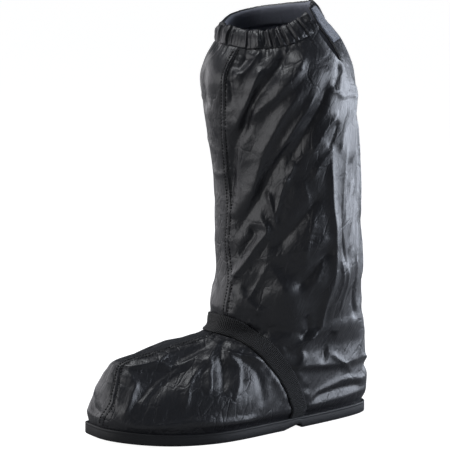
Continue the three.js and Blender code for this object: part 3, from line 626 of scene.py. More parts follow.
def crease_field(points, normals):
    """Height of every crease over the skin: a bell of the distance to the crease's line, rounded
    or pointed, wide by its own half width on each side, and eased away at the line's two ends."""
    height = np.zeros(points.shape[:-1])
    flat, lifted = points.reshape(-1, 3), height.reshape(-1)
    for rise, width_left, width_right, edge, line in CREASES:
        line = np.array(line, float)
        knots = np.arange(len(line))
        fine = np.linspace(0, knots[-1], KNOT_STEPS * len(line))
        angle = np.radians(curve(knots, line[:, 0], fine))
        level = curve(knots, line[:, 1], fine)
        path = skin(level, angle)
        run = walked(path)
        even = np.linspace(0, run[-1], max(int(run[-1] / PATH_STEP), FEWEST_STEPS))
        path = np.stack([np.interp(even, run, path[:, k]) for k in range(3)], -1)
        facing = normal_of(np.interp(even, run, level), np.interp(even, run, angle))
        across = unit(np.cross(facing, np.gradient(path, axis=0)))
        reach = CREASE_REACH * max(width_left, width_right)
        near = np.all((flat > path.min(0) - reach) & (flat < path.max(0) + reach), axis=1)
        near = np.flatnonzero(near)
        if not len(near):
            continue
        offset = flat[near][:, None].astype(np.float32) - path[None].astype(np.float32)
        distance = np.einsum("ijk,ijk->ij", offset, offset)
        nearest = distance.argmin(1)
        away = np.sqrt(distance[np.arange(len(near)), nearest])
        side = np.einsum("ij,ij->i", offset[np.arange(len(near)), nearest], across[nearest])
        facing_there = np.einsum("ij,ij->i", normals.reshape(-1, 3)[near], facing[nearest])
        blend = 0.5 + 0.5 * np.tanh(side / SIDE_BLEND)
        q = away / (width_left * blend + width_right * (1 - blend))
        rounded = np.exp(-q * q)
        pointed = np.exp(-KNIFE_FALL * (np.sqrt(q * q + KNIFE_ROUND) - KNIFE_TOP))
        share = even[nearest] / run[-1]
        ends = ease(share / END_FADE) * ease((1 - share) / END_FADE)
        bell = (1 - edge) * rounded + edge * pointed
        lifted[near] += FOLD_DEPTH * rise * ends * (facing_there > SAME_FACE) * bell
    return lifted.reshape(points.shape[:-1])


ROWS = 251
COLUMNS = 300
INNER_STEP = 2
FRONT_ANGLE = 0.35
LEVEL_SAMPLES = 4000
# Columns stand closer together over the front and outer side: shares of the columns, and of the
# way round from the opening
COLUMN_SHARES = [0, 0.13, 0.42, 1]
ROUND_SHARES = [0, 0.09, 0.55, 1]


def upper_levels():
    """Levels of the rows, evenly spaced along the front of the skin, with one at the foot of the
    opening."""
    fine = np.linspace(BASE_THICKNESS + CLEAR, COLLAR_LEVEL, LEVEL_SAMPLES)
    run = walked(skin(fine, FRONT_ANGLE))
    levels = np.interp(np.linspace(0, run[-1], ROWS), run, fine)
    split = int(np.abs(levels - OPENING_LEVEL).argmin())
    levels[split] = OPENING_LEVEL
    return levels, split + split % INNER_STEP


# Seam's middle line: angles in degrees at levels, from the toe up to the collar
SEAM_LEVELS = [5, 12, 20, 30, 41, 58, 69, 81, 90, 101, 135, 185, 226, 267, 338, 352, 367, 387, 405]
SEAM_ANGLES = [2, 3.7, 6, 10, 13.5, 15.2, 14.2, 9, 10, 11.5, 13, 6.5, 10.5, 8.5, 17, 19.5, 21, 23, 17]
SEAM_HALF = 2.4
SEAM_EDGE = 0.6
SEAM_RISE = 0.5
ROW_DIP, ROW_WIDTH = 0.9, 1.0
PUCKER_AT, PUCKER_REACH, PUCKER_SIZE, PUCKER_SEED = 4, 5, 3.4, 11
PUCKER_SLICE, PUCKER_ACROSS, PUCKER_SLANT = 3.1, 0.3, 0.5
SEAM_REACH = 24


def spot(a, b=0.0, c=0.0):
    """Points for the lattice noise from three coordinates, any of which may be one number."""
    return np.stack(np.broadcast_arrays(a, b, c), -1).astype(float)


def seam_field(points, level, angle):
    """Sewn seam: a low flat band between the two rows of stitches, with a dimple along each row
    and short puckers across it."""
    line_angle = np.radians(curve(SEAM_LEVELS, SEAM_ANGLES, level))
    line = skin(level, line_angle)
    turned = np.where(angle > np.pi, angle - 2 * np.pi, angle)
    side = np.sign(turned - line_angle) * np.linalg.norm(points - line, axis=-1)
    band = SEAM_RISE * np.exp(-((side / (SEAM_HALF + SEAM_EDGE)) ** 4))
    near_row = np.exp(-(((side - SEAM_HALF) / ROW_WIDTH) ** 2))
    far_row = np.exp(-(((side + SEAM_HALF) / ROW_WIDTH) ** 2))
    place = spot(PUCKER_SLICE, side * PUCKER_ACROSS, level + points[..., 1] * PUCKER_SLANT)
    pucker = lattice_noise(place, PUCKER_SIZE, PUCKER_SEED)
    pucker *= np.exp(-(((side - PUCKER_AT) / PUCKER_REACH) ** 2))
    return (band - ROW_DIP * (near_row + far_row) + pucker) * (np.abs(side) < SEAM_REACH)


STRAP_WIDTH = 19
# Strap's middle line from the side, as shares of half the sole's length and of the instep height
STRAP_BACKS = HALF * np.array(
    [-0.4, -0.148, -0.049, 0.037, 0.123, 0.203, 0.265, 0.308, 0.325, 0.325]
)
STRAP_UPS = INSTEP_HEIGHT * np.array(
    [1.16, 1.083, 1.005, 0.877, 0.716, 0.549, 0.373, 0.216, 0.08, -0.1]
)
NEAR_SAMPLES = 160


def strap_line(place):
    """Middle line of the strap seen from the side, as (y, z) at a place from 0, ahead of the
    instep, to 1, at the sole."""
    knots = np.linspace(0, 1, len(STRAP_BACKS))
    return np.stack([curve(knots, STRAP_BACKS, place), curve(knots, STRAP_UPS, place)], -1)


def strap_distance(points):
    """Distance from points to the strap's middle line, seen from the side."""
    line = strap_line(np.linspace(0, 1, NEAR_SAMPLES))
    away = points.reshape(-1, 3)[:, None, 1:] - line[None]
    return np.sqrt((away**2).sum(-1).min(1)).reshape(points.shape[:-1])


# Gathers: millimetres of rim per degree, the flat stretch beside the seam and the slack one on the
# inner side as middle or edges with their fades in degrees, and the pleats' size, seed, rise and
# slice of the noise
RIM_PER_DEGREE = 1.15
FLAT_AT, FLAT_HALF, FLAT_SHARE = 383, 10, 0.9
SLACK_FROM, SLACK_IN, SLACK_TO, SLACK_OUT, SLACK_SHARE = 165, 30, 318, 22, 0.85
TIGHT_SIZE, TIGHT_SEED, TIGHT_RISE, TIGHT_EDGE = 4.3, 41, 0.9, 2.4
LOOSE_SIZE, LOOSE_SEED, LOOSE_RISE = 9.5, 42, 0.8
TIGHT_SLICE, LOOSE_SLICE = 2.2, 9.2


def rim_arc(share):
    """Millimetres along the rim at shares of the way round."""
    return share * 360 * RIM_PER_DEGREE


def gathers(share):
    """Rise and fall of the gathers at shares of the way round: pleats of two sizes, tight in front,
    slack on the inner side and behind, and none beside the front seam."""
    degrees = OPENING_ANGLE + 360 * share
    flat = np.exp(-(((degrees - FLAT_AT) / FLAT_HALF) ** 4))
    slack = ease((degrees - SLACK_FROM) / SLACK_IN) * (1 - ease((degrees - SLACK_TO) / SLACK_OUT))
    tight = lattice_noise(spot(rim_arc(share), 0, TIGHT_SLICE), TIGHT_SIZE, TIGHT_SEED)
    loose = lattice_noise(spot(rim_arc(share), 0, LOOSE_SLICE), LOOSE_SIZE, LOOSE_SEED)
    pleats = TIGHT_RISE * (1 - TIGHT_EDGE * np.abs(tight)) + LOOSE_RISE * loose
    return pleats * (1 - FLAT_SHARE * flat) * (1 - SLACK_SHARE * slack)


# Crumple: a turn and stretch that lays it along the folds, rise, size and seed of each layer, and
# the calmer stretch beside the front seam, in degrees
LEAN = np.array([[1, 0.15, 0.1], [0, 0.62, -0.5], [-0.1, 0.42, 0.62]])
CRUMPLES = [(1.0, 26, 5), (0.45, 12, 6)]
FINE_RISE, FINE_SIZE, FINE_SEED = 0.12, 5.5, 7
CALM_AT, CALM_HALF, CALM_SHARE = -8, 26, 0.6
# Fan below the casing: its depth, how it spreads from a share of the way round, and its pleats
FAN_DEPTH, FAN_MIDDLE, FAN_SPREAD = 60, 0.72, 0.1
SHORT_RISE, SHORT_FALL = 1.6, 4
BROAD_RISE, BROAD_EDGE, BROAD_SIZE, BROAD_SEED, BROAD_START = 2.6, 0.4, 11, 44, 0.08
BROAD_SLICE, BROAD_DRIFT = 5.7, 3
FAN_POWER = 1.5
# Puckers beside the strap, and how cloth is pressed by the strap, the casing and the sole
BESIDE_RISE, BESIDE_REACH, BESIDE_SIZE, BESIDE_SEED = 1.3, 9, 5.5, 31
BESIDE_STRETCH = np.array([0.75, 0.75, 0.2])
STRAP_TOP_SHARE, STRAP_PRESS, STRAP_MARGIN, STRAP_FADE = 1.5, 0.6, 1, 5
CASING_PRESS, CASING_MARGIN, CASING_FADE = 0.9, 6, 7
SOLE_MARGIN, SOLE_FADE = 0.4, 9


def cloth_height(points, normals, level, angle, share):
    """Cloth's height over the plain skin: listed creases, crumple in three sizes, drawn out
    along the folds and calmer at the front, gathers that fade below the casing as broad pleats
    fan out, puckers beside the strap, and the seam. It is pressed flat under the casing, under
    the strap and inside the sole."""
    leaned = points @ LEAN
    crumple = 0
    for rise, size, seed in CRUMPLES:
        crumple += rise * (0.5 - np.abs(lattice_noise(leaned, size, seed)))
    crumple += FINE_RISE * lattice_noise(points, FINE_SIZE, FINE_SEED)
    from_front = np.mod(np.degrees(angle) + 180, 360) - 180
    calm = CALM_SHARE * np.exp(-(((from_front - CALM_AT) / CALM_HALF) ** 4))
    height = crease_field(points, normals) + crumple * (1 - calm)
    below = np.clip((CASING_LEVEL - level) / FAN_DEPTH, 0, 1)
    fanned = share + (share - FAN_MIDDLE) * FAN_SPREAD * below
    place = spot(rim_arc(fanned), below * BROAD_DRIFT, BROAD_SLICE)
    broad = lattice_noise(place, BROAD_SIZE, BROAD_SEED)
    height += SHORT_RISE * np.clip(1 - SHORT_FALL * below, 0, 1) ** FAN_POWER * gathers(fanned)
    fading = (1 - below) ** FAN_POWER * ease(below / BROAD_START)
    height += BROAD_RISE * (BROAD_EDGE - np.abs(broad)) * fading
    strap_away = strap_distance(points)
    low_part = level < STRAP_TOP_SHARE * INSTEP_HEIGHT
    beside = np.exp(-(((strap_away - STRAP_WIDTH / 2) / BESIDE_REACH) ** 2)) * low_part
    along_strap = points[..., [1, 2, 0]] * BESIDE_STRETCH
    height += BESIDE_RISE * beside * lattice_noise(along_strap, BESIDE_SIZE, BESIDE_SEED)
    height += seam_field(points, level, angle)
    under_strap = low_part * (1 - ease((strap_away - STRAP_WIDTH / 2 + STRAP_MARGIN) / STRAP_FADE))
    height = height * (1 - under_strap) - STRAP_PRESS * under_strap
    in_casing = ease((level - CASING_LEVEL + CASING_MARGIN) / CASING_FADE)
    height = height * (1 - CASING_PRESS * in_casing)
    return height * ease((level - RIM_HEIGHT - SOLE_MARGIN) / SOLE_FADE)


FLAP_TUCK = 9
TUCK_TURN = 42
TUCK_MARGIN, TUCK_RISE = 6, 34


def flap_tuck(share, level):
    """Depth by which the flap's free end leans into the collar, to lie behind the near edge: most
    at its free edge and rim, fading round the leg and down the opening."""
    turned = 1 - ease(share * 360 / TUCK_TURN)
    risen = ease((level - OPENING_LEVEL + TUCK_MARGIN) / TUCK_RISE)
    return FLAP_TUCK * turned * risen


def lowest_near(height, reach):
    """Lowest value among each grid point's neighbours, up to that many rows and columns away."""
    for axis in (0, 1):
        edges = [(reach, reach) if k == axis else (0, 0) for k in (0, 1)]
        padded = np.pad(height, edges, mode="edge")
        height = np.lib.stride_tricks.sliding_window_view(padded, 2 * reach + 1, axis).min(-1)
    return height


def upper_mesh():
    """Outer and inner face on one grid of levels and shares of the way round, joined at column 0
    below the opening and split above it. The outer face stands at the skin plus the cloth's
    height and the inner, coarser one a wall's thickness behind the lowest cloth near each of its
    points, so that no fold shows through, and strips close all the edges."""
    levels, split = upper_levels()
    shares = np.interp(np.linspace(0, 1, COLUMNS + 1), COLUMN_SHARES, ROUND_SHARES)
    level = levels[:, None] + 0 * shares[None]
    angle = column_angle(shares[None], level)
    points = skin(level, angle)
    normals = normal_of(level, angle)
    share = shares[None] + 0 * level
    height = cloth_height(points, normals, level, np.mod(angle, 2 * np.pi), share)
    height[: split + 1, -1] = height[: split + 1, 0]
    height = height - flap_tuck(share, level)
    outer = points + normals * height[..., None]
    behind = lowest_near(height, INNER_STEP) - WALL
    inner = (points + normals * behind[..., None])[::INNER_STEP, ::INNER_STEP]
    outer_ids = np.arange(outer.shape[0] * outer.shape[1]).reshape(outer.shape[:2])
    inner_ids = outer_ids.size + np.arange(inner.shape[0] * inner.shape[1]).reshape(inner.shape[:2])
    outer_ids[: split + 1, -1] = outer_ids[: split + 1, 0]
    inner_ids[: split // INNER_STEP + 1, -1] = inner_ids[: split // INNER_STEP + 1, 0]

    def edge_strip(many, few, turned):
        """Triangles between a fine edge and a coarse one, three to each step of the coarse one."""
        a, m, b = many[:-1:2], many[1::2], many[2::2]
        c, d = few[:-1], few[1:]
        strips = [np.stack([a, m, c], -1), np.stack([m, d, c], -1), np.stack([m, b, d], -1)]
        return [strip[:, ::-1] if turned else strip for strip in strips]

    faces = [quads(outer_ids), quads(inner_ids)[:, ::-1]]
    faces += edge_strip(outer_ids[0], inner_ids[0], True)
    faces += edge_strip(outer_ids[-1], inner_ids[-1], False)
    faces += edge_strip(outer_ids[split:, 0], inner_ids[split // INNER_STEP :, 0], False)
    faces += edge_strip(outer_ids[split:, -1], inner_ids[split // INNER_STEP :, -1], True)
    return np.concatenate([outer.reshape(-1, 3), inner.reshape(-1, 3)]), faces


upper = piece("upper_cloth", *upper_mesh())
gloss = {"specular_ior_level": 0.5, "coat_weight": 0.15, "coat_roughness": 0.2}
cloth, tree, shader = finish_of("coated_cloth", CLOTH_BLACK, 0.4, **gloss)


BEND_SCALE, BEND = 0.8, 0.35


def crease_net(tree, scale, width, lean=30, stretch=1.8):
    """Thin creases between the cells of a Voronoi pattern, in cells per metre of the object's
    coordinates, bent by noise and drawn out along the folds: 0 on a crease, 1 past the width."""
    place = tree.nodes.new("ShaderNodeTexCoord")
    bend = tree.nodes.new("ShaderNodeTexNoise")
    bend.inputs["Scale"].default_value = scale * BEND_SCALE
    shifted = tree.nodes.new("ShaderNodeVectorMath")
    shifted.operation = "MULTIPLY_ADD"
    shifted.inputs[1].default_value = (BEND / scale,) * 3
    cells = tree.nodes.new("ShaderNodeTexVoronoi")
    cells.feature = "DISTANCE_TO_EDGE"
    cells.inputs["Scale"].default_value = scale
    edge = tree.nodes.new("ShaderNodeMapRange")
    edge.interpolation_type = "SMOOTHSTEP"
    edge.inputs["From Max"].default_value = width
    tree.links.new(place.outputs["Object"], bend.inputs["Vector"])
    tree.links.new(bend.outputs["Color"], shifted.inputs[0])
    tree.links.new(place.outputs["Object"], shifted.inputs[2])
    tree.links.new(drawn_out(tree, shifted.outputs["Vector"], lean, stretch), cells.inputs["Vector"])
    tree.links.new(cells.outputs["Distance"], edge.inputs["Value"])
    return edge.outputs["Result"]


def masked(tree, height, scale, low, high):
    """A height shown only in patches, where noise lies above a threshold."""
    patches = tree.nodes.new("ShaderNodeMapRange")
    patches.inputs["From Min"].default_value = low
    patches.inputs["From Max"].default_value = high
    tree.links.new(noise(tree, scale, detail=1), patches.inputs["Value"])
    product = tree.nodes.new("ShaderNodeMath")
    product.operation = "MULTIPLY"
    tree.links.new(height, product.inputs[0])
    tree.links.new(patches.outputs["Result"], product.inputs[1])
    return product.outputs[0]


def ridged(tree, height):
    """Sharp valleys along the lines where a noise crosses its middle value: |height − 0.5|."""
    moved = tree.nodes.new("ShaderNodeMath")
    moved.operation = "SUBTRACT"
    moved.inputs[1].default_value = 0.5
    folded = tree.nodes.new("ShaderNodeMath")
    folded.operation = "ABSOLUTE"
    tree.links.new(height, moved.inputs[0])
    tree.links.new(moved.outputs[0], folded.inputs[0])
    return folded.outputs[0]


large = noise(tree, 40, detail=5, roughness=0.6, distortion=0.4, lean=32, stretch=2.6)
small = noise(tree, 100, detail=4, roughness=0.55, distortion=0.6, lean=24, stretch=2.2)
creases = masked(tree, crease_net(tree, 80, width=0.1), 30, low=0.4, high=0.56)
fine = noise(tree, 420, detail=3, roughness=0.6)
weave = noise(tree, 2600, detail=0)
bumped = None
for height, strength, distance in (
    (ridged(tree, large), 0.7, 0.0028),
    (ridged(tree, small), 0.7, 0.0013),
    (creases, 0.4, 0.0006),
    (fine, 0.3, 0.0003),
    (weave, 0.25, 0.0001),
):
    bumped = add_bump(tree, shader, height, strength, distance, bumped)
upper.data.materials.append(cloth)
backing, tree, shader = finish_of("cloth_backing", BACKING_GREY, 0.6, specular_ior_level=0.35)
crumple = noise(tree, 120, detail=4, lean=30, stretch=2.8)
bumped = add_bump(tree, shader, crumple, strength=0.5, distance=0.0022)
weave = noise(tree, 2600, detail=0)
add_bump(tree, shader, weave, strength=0.3, distance=0.0001, below=bumped)
upper.data.materials.append(backing)
outer_faces = (ROWS - 1) * COLUMNS
inner_faces = outer_faces // INNER_STEP**2
sides = np.zeros(len(upper.data.polygons), np.int32)
sides[outer_faces : outer_faces + inner_faces] = 1
upper.data.polygons.foreach_set("material_index", sides)
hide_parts("upper")

# Collar casing: the upper's top edge turned over an elastic and stitched down, so that the cloth
# stands in tight gathers all round, but for a flat stretch at the front seam.
CASING_PLY = 1.4
CASING_CLEAR = 0.5
CASING_START = 45 / 360
CASING_COLUMNS = 900
CASING_DROP = 1.5
CASING_FOOT = CASING_LEVEL - CASING_DROP
# Outer leg: share of the way up, how much it takes of the gathers, and how far it bulges
OUTER_LEG = [
    (0, 0.55, -1.2),
    (0.05, 0.7, -0.6),
    (0.15, 0.9, 0.2),
    (0.3, 1.0, 0.8),
    (0.45, 1.1, 1.2),
    (0.6, 1.1, 1.3),
    (0.75, 1.0, 1.1),
    (0.88, 0.9, 0.8),
    (0.97, 0.8, 0.5),
    (1.0, 0.7, 0.3),
]
CROWN_TURNS = (0.25, 0.5, 0.75)
INNER_LEG = (1.0, 0.7, 0.4, 0.15, 0.0)
GATHER_RISE = 1.9
OWN_SIZE, OWN_SEED, OWN_LEAN, OWN_LIFT = 5.0, 43, 14, 0.8
QUIET = 0.4
CROWN_RISE, CROWN_LIFT, CROWN_WAVE, CROWN_SWELL = 1.2 * CASING_PLY, 0.6, 1.0, 0.8
INNER_SLACK, INNER_WAVE = 0.5, 0.9


def casing_mesh():
    """Closed channel profile, up outside, over the rim and down inside, carried round the collar;
    its outer leg and crown swell and sink with the gathers, which are noise along the rim."""
    share = np.linspace(CASING_START, 1, CASING_COLUMNS)
    top, inside, outer = COLLAR_LEVEL, WALL + CASING_CLEAR, CASING_CLEAR + CASING_PLY
    pleats = gathers(share)
    quiet = np.abs(pleats) / (QUIET + np.abs(pleats))
    up = np.array([0.0, 0.0, 1.0])

    def at(level, grow):
        """Ring at a level, out from the skin by a distance."""
        angle = column_angle(share, level)
        grow = grow + 0 * share
        return skin(level, angle) + normal_of(level + 0 * angle, angle) * grow[..., None]

    rows = []
    for leg, part, bulge in OUTER_LEG:
        level = CASING_FOOT + (top - CASING_FOOT) * leg
        own = lattice_noise(spot(rim_arc(share), leg * OWN_LEAN), OWN_SIZE, OWN_SEED) * quiet
        lift = OWN_LIFT * own[:, None] * (1 - leg)
        rows.append(at(level, outer + bulge + GATHER_RISE * part * (pleats + own)) + up * lift)
    for turn in CROWN_TURNS:
        grow = outer - (outer + inside + CASING_PLY) * turn + CROWN_SWELL * pleats * (1 - turn)
        lift = CROWN_RISE * math.sin(math.pi * turn) + CROWN_LIFT + CROWN_WAVE * pleats
        rows.append(at(top, grow) + up * lift[:, None])
    for leg in INNER_LEG:
        level = CASING_FOOT + (top - CASING_FOOT) * leg
        wave = INNER_WAVE * pleats * (leg < 1)
        rows.append(at(level, -inside - CASING_PLY - INNER_SLACK - wave))
    rows.append(at(CASING_FOOT, -inside))
    rows.append(at(top, -inside) + up * CLEAR)
    rows.append(at(top, CASING_CLEAR) + up * CLEAR)
    rows.append(at(CASING_FOOT, CASING_CLEAR))
    points = np.stack(rows)
    count = len(rows)
    ids = np.arange(count * CASING_COLUMNS).reshape(count, -1)
    body = quads(np.concatenate([ids, ids[:1]], 0))
    middle = np.stack([points[:, 0].mean(0), points[:, -1].mean(0)])
    start, end = (
        np.stack([loop, np.roll(loop, -1), np.full(count, centre)], -1)
        for loop, centre in ((ids[:, 0], ids.size), (ids[:, -1], ids.size + 1))
    )
    return np.concatenate([points.reshape(-1, 3), middle]), [body[:, ::-1], start[:, ::-1], end]


casing = piece("collar_gathers", *casing_mesh())
casing.data.materials.append(cloth)
casing.data.materials.append(backing)
strip_faces = CASING_COLUMNS - 1
crown_end = len(OUTER_LEG) + len(CROWN_TURNS) - 1
sides = np.zeros(len(casing.data.polygons), np.int32)
sides[crown_end * strip_faces : (crown_end + len(INNER_LEG)) * strip_faces] = 1
casing.data.polygons.foreach_set("material_index", sides)
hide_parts("collar_casing")

# Touch fastener: a strip of grey loop tape, fuzzy all over and thin at its edges, sewn on the outer
# face of the flap, just below the rim and by the flap's free edge.
STRIP_HEIGHT = 27
STRIP_SPAN = 22
STRIP_THICKNESS = 1.5
STRIP_BELOW_RIM = 2
STRIP_START = 1.5
STRIP_STEPS = 60
STRIP_LIFT = 0.5
STRIP_EDGE, STRIP_EDGE_SHARE = 0.5, 0.05
LOOPS_RISE, LOOPS_SIZE, LOOPS_SEED = 0.25, 1.3, 51
TAPE_GREY = (0.09, 0.1, 0.125)
TAPE_SPECKLE = [(0.4, (0.03, 0.034, 0.045)), (0.62, (0.2, 0.22, 0.27))]


def rims(ids):
    """The four edges of a grid of point numbers, and whether the strip that closes each one is
    turned over."""
    return (ids[0], True), (ids[-1], False), (ids[:, 0], False), (ids[:, -1], True)


def slab(face, back):
    """Points and faces of a thin sheet: a face, a back, and a strip along each of its edges."""
    ids = np.arange(face.shape[0] * face.shape[1]).reshape(face.shape[:2])
    faces = [quads(ids), quads(ids + ids.size)[:, ::-1]]
    for edge, turned in rims(ids):
        strip = quads(np.stack([edge, edge + ids.size]))
        faces.append(strip[:, ::-1] if turned else strip)
    return np.concatenate([face.reshape(-1, 3), back.reshape(-1, 3)]), faces


def strip_mesh():
    """Grid over the flap a little outside the skin, pillowed towards its edges, and closed behind."""
    rise = np.linspace(0, 1, STRIP_STEPS)[:, None]
    turn = np.linspace(0, 1, STRIP_STEPS)[None]
    level = COLLAR_LEVEL - STRIP_BELOW_RIM - STRIP_HEIGHT * (1 - rise) + 0 * turn
    angle = column_angle(0, level) + np.radians(STRIP_START + STRIP_SPAN * turn)
    base, normal = skin(level, angle), normal_of(level, angle)
    border = np.minimum(np.minimum(rise, 1 - rise), np.minimum(turn, 1 - turn))
    loops = LOOPS_RISE * lattice_noise(base, LOOPS_SIZE, LOOPS_SEED)
    pillow = (STRIP_THICKNESS - STRIP_EDGE) * ease(border / STRIP_EDGE_SHARE)
    tuck = flap_tuck(np.degrees(angle - column_angle(0, level)) / 360, level)
    outside = CLEAR + STRIP_LIFT + STRIP_EDGE + pillow + loops - tuck
    return slab(base + normal * outside[..., None], base + normal * (CLEAR - tuck)[..., None])


strip = piece("flap_loop_strip", *strip_mesh())
tape, tree, shader = finish_of("loop_tape", TAPE_GREY, 0.95, sheen_weight=0.4)
speckle = noise(tree, 900, detail=2, roughness=0.7)
ramp = tree.nodes.new("ShaderNodeValToRGB")
for stop, (place, colour) in zip(ramp.color_ramp.elements, TAPE_SPECKLE):
    stop.position, stop.color = place, (*colour, 1)
tree.links.new(speckle, ramp.inputs["Fac"])
tree.links.new(ramp.outputs["Color"], shader.inputs["Base Color"])
add_bump(tree, shader, speckle, strength=0.7, distance=0.0006)
strip.data.materials.append(tape)
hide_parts("touch_strip")

# Instep strap: a flat black elastic woven with cross ribs, which lies over the instep and holds the
# cloth close to the foot. Its two ends are caught between the sole and the upper.
STRAP_THICKNESS = 1.4
STRAP_STEPS = 420
STRAP_ACROSS = 15
STRAP_SAMPLES = 900
LEVEL_ROUNDS = 6
STRAP_LOW = RIM_HEIGHT - CLEAR
SMOOTHINGS = 12
SELVEDGE, SELVEDGE_SHARE = 0.7, 0.08
STRAP_BACK = 0.1
WEBBING_BLACK = (0.009, 0.0095, 0.0105)


def strap_surface(offset):
    """Line on the skin at an offset from the strap's middle line: for each place along it the
    point of the section at that height and distance back, up the outer side to the crest of
    the instep and down the inner one, at equal steps."""
    line = strap_line(np.linspace(0, 1, STRAP_SAMPLES))
    run = unit(np.gradient(line, axis=0))
    y = line[:, 0] - run[:, 1] * offset
    z = line[:, 1] + run[:, 0] * offset
    level = z.copy()
    for _ in range(LEVEL_ROUNDS):
        level = z - springing(level) * toe_lift(y)
    front, back = (curve(SECTIONS[:, 0], SECTIONS[:, k], level) for k in (1, 2))
    on = np.flatnonzero((y > front) & (z > STRAP_LOW))[0]
    keep = np.flatnonzero(level > STRAP_LOW)
    keep = keep[keep >= on]
    y, level, front, back = y[keep], level[keep], front[keep], back[keep]
    along = np.clip((y - front) / (back - front), 0, 1)
    angle = np.arccos(1 - 2 * along)
    angle[0] = 0
    levels, angles = [], []
    for sign in (1, -1):
        run = walked(skin(level, sign * angle))
        even = np.linspace(0, run[-1], STRAP_STEPS // 2)
        levels.append(np.interp(even, run, level))
        angles.append(np.interp(even, run, sign * angle))
    return [np.concatenate([outer[::-1], inner[1:]]) for outer, inner in (levels, angles)]


def strap_mesh():
    """Lines at equal offsets across the strap, laid on the skin, evened out along the strap by
    averages of neighbouring points, and pushed out by the cloth's room and by the strap's own
    thickness, thinner at its two selvedges."""
    offsets = np.linspace(-STRAP_WIDTH / 2, STRAP_WIDTH / 2, STRAP_ACROSS)
    found = [strap_surface(offset) for offset in offsets]
    level, angle = (np.stack([f[k] for f in found]) for k in (0, 1))
    smooth = skin(level, angle)
    for _ in range(SMOOTHINGS):
        smooth[:, 1:-1] = 0.25 * smooth[:, :-2] + 0.5 * smooth[:, 1:-1] + 0.25 * smooth[:, 2:]
    normal = unit(np.cross(np.gradient(smooth, axis=0), np.gradient(smooth, axis=1)))
    outward = np.sign((normal * (smooth - smooth.mean((0, 1)))).sum(-1).mean())
    normal = normal * outward
    edge = ease((1 - np.abs(offsets) * 2 / STRAP_WIDTH) / SELVEDGE_SHARE)[:, None]
    thick = SELVEDGE + (STRAP_THICKNESS - SELVEDGE) * edge
    face = smooth + normal * (CLEAR + thick)[..., None]
    points, faces = slab(face, smooth + normal * (CLEAR - STRAP_BACK))
    if outward < 0:
        faces = [group[:, ::-1] for group in faces]
    run = walked(smooth[STRAP_ACROSS // 2])[None] + 0 * level
    weave_map = np.stack([run, offsets[:, None] + 0 * level], -1).reshape(-1, 2)
    return points, faces, np.concatenate([weave_map] * 2)


points, faces, weave_map = strap_mesh()
strap = piece("instep_webbing", points, faces)
layer = strap.data.uv_layers.new(name="weave")
corners = np.zeros(len(strap.data.loops), int)
strap.data.loops.foreach_get("vertex_index", corners)
layer.data.foreach_set("uv", weave_map[corners].astype(np.float32).ravel())
sheen = {"specular_ior_level": 0.35, "sheen_weight": 0.06}
webbing, tree, shader = finish_of("strap_webbing", WEBBING_BLACK, 0.75, **sheen)
place = tree.nodes.new("ShaderNodeUVMap")
place.uv_map = "weave"
bumped = None
# Cross ribs, then the warps between them: direction, bands per millimetre, waver and bump
for direction, scale, distortion, strength, distance in (
    ("X", 0.17, 0.4, 1.0, 0.0012),
    ("Y", 0.2, 0.3, 0.6, 0.0006),
):
    bands = tree.nodes.new("ShaderNodeTexWave")
    bands.bands_direction = direction
    bands.inputs["Scale"].default_value = scale
    bands.inputs["Distortion"].default_value = distortion
    tree.links.new(place.outputs["UV"], bands.inputs["Vector"])
    bumped = add_bump(tree, shader, bands.outputs["Fac"], strength, distance, bumped)
strap.data.materials.append(webbing)
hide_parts("instep_strap")

# Stitching: two rows of lock stitches in black thread, one at each side of the front seam, from the
# collar down to the sole. Each stitch lies on the cloth and goes into it at both ends.
STITCH_LENGTH = 2.4
STITCH_PITCH = 3.3
STITCH_MARGIN = 2
SEAM_SAMPLES = 3000
THREAD = 0.65
THREAD_LIFT = 0.1
BEAD_SIDES = 6
BEAD_STATIONS = np.array([-0.5, -0.32, 0.32, 0.5])
BEAD_GIRTHS = np.array([0.3, 1, 1, 0.3])
THREAD_BLACK = (0.006, 0.006, 0.007)


def stitches_mesh():
    """A small six-sided bead, long in the seam's direction and pointed at both ends, repeated at
    equal steps along lines at each side of the seam's middle."""
    level = np.linspace(RIM_HEIGHT + STITCH_MARGIN, CASING_LEVEL - STITCH_MARGIN, SEAM_SAMPLES)
    angle = np.radians(curve(SEAM_LEVELS, SEAM_ANGLES, level))
    middle = skin(level, angle)
    normal = normal_of(level, angle)
    rise = unit(np.gradient(middle, axis=0))
    across = unit(np.cross(rise, normal))
    turn = np.linspace(0, 2 * np.pi, BEAD_SIDES, endpoint=False)[:, None]
    stations = (BEAD_STATIONS * STITCH_LENGTH)[:, None, None]
    girths = BEAD_GIRTHS[:, None, None]
    all_points, all_faces, total = [], [], 0
    for row in (-1, 1):
        line = middle + across * row * SEAM_HALF
        run = walked(line)
        at = np.arange(STITCH_MARGIN, run[-1] - STITCH_MARGIN, STITCH_PITCH)
        place, along, out, aside = (
            np.stack([np.interp(at, run, part[:, k]) for k in range(3)], -1)[:, None, None]
            for part in (line, rise, normal, across)
        )
        round_it = out * np.cos(turn) + aside * np.sin(turn)
        beads = place + out * THREAD_LIFT + along * stations + girths * THREAD * round_it
        ids = total + np.arange(beads[..., 0].size).reshape(beads.shape[:3])
        looped = np.concatenate([ids, ids[:, :, :1]], 2)
        low, high = looped[:, :-1], looped[:, 1:]
        body = np.stack([low[..., :-1], low[..., 1:], high[..., 1:], high[..., :-1]], -1)
        all_faces += [body.reshape(-1, 4), ids[:, 0, ::-1], ids[:, -1]]
        all_points.append(beads.reshape(-1, 3))
        total += ids.size
    return np.concatenate(all_points), all_faces


stitches = piece("front_seam_stitches", *stitches_mesh())
thread, tree, shader = finish_of("seam_thread", THREAD_BLACK, 0.7)
stitches.data.materials.append(thread)

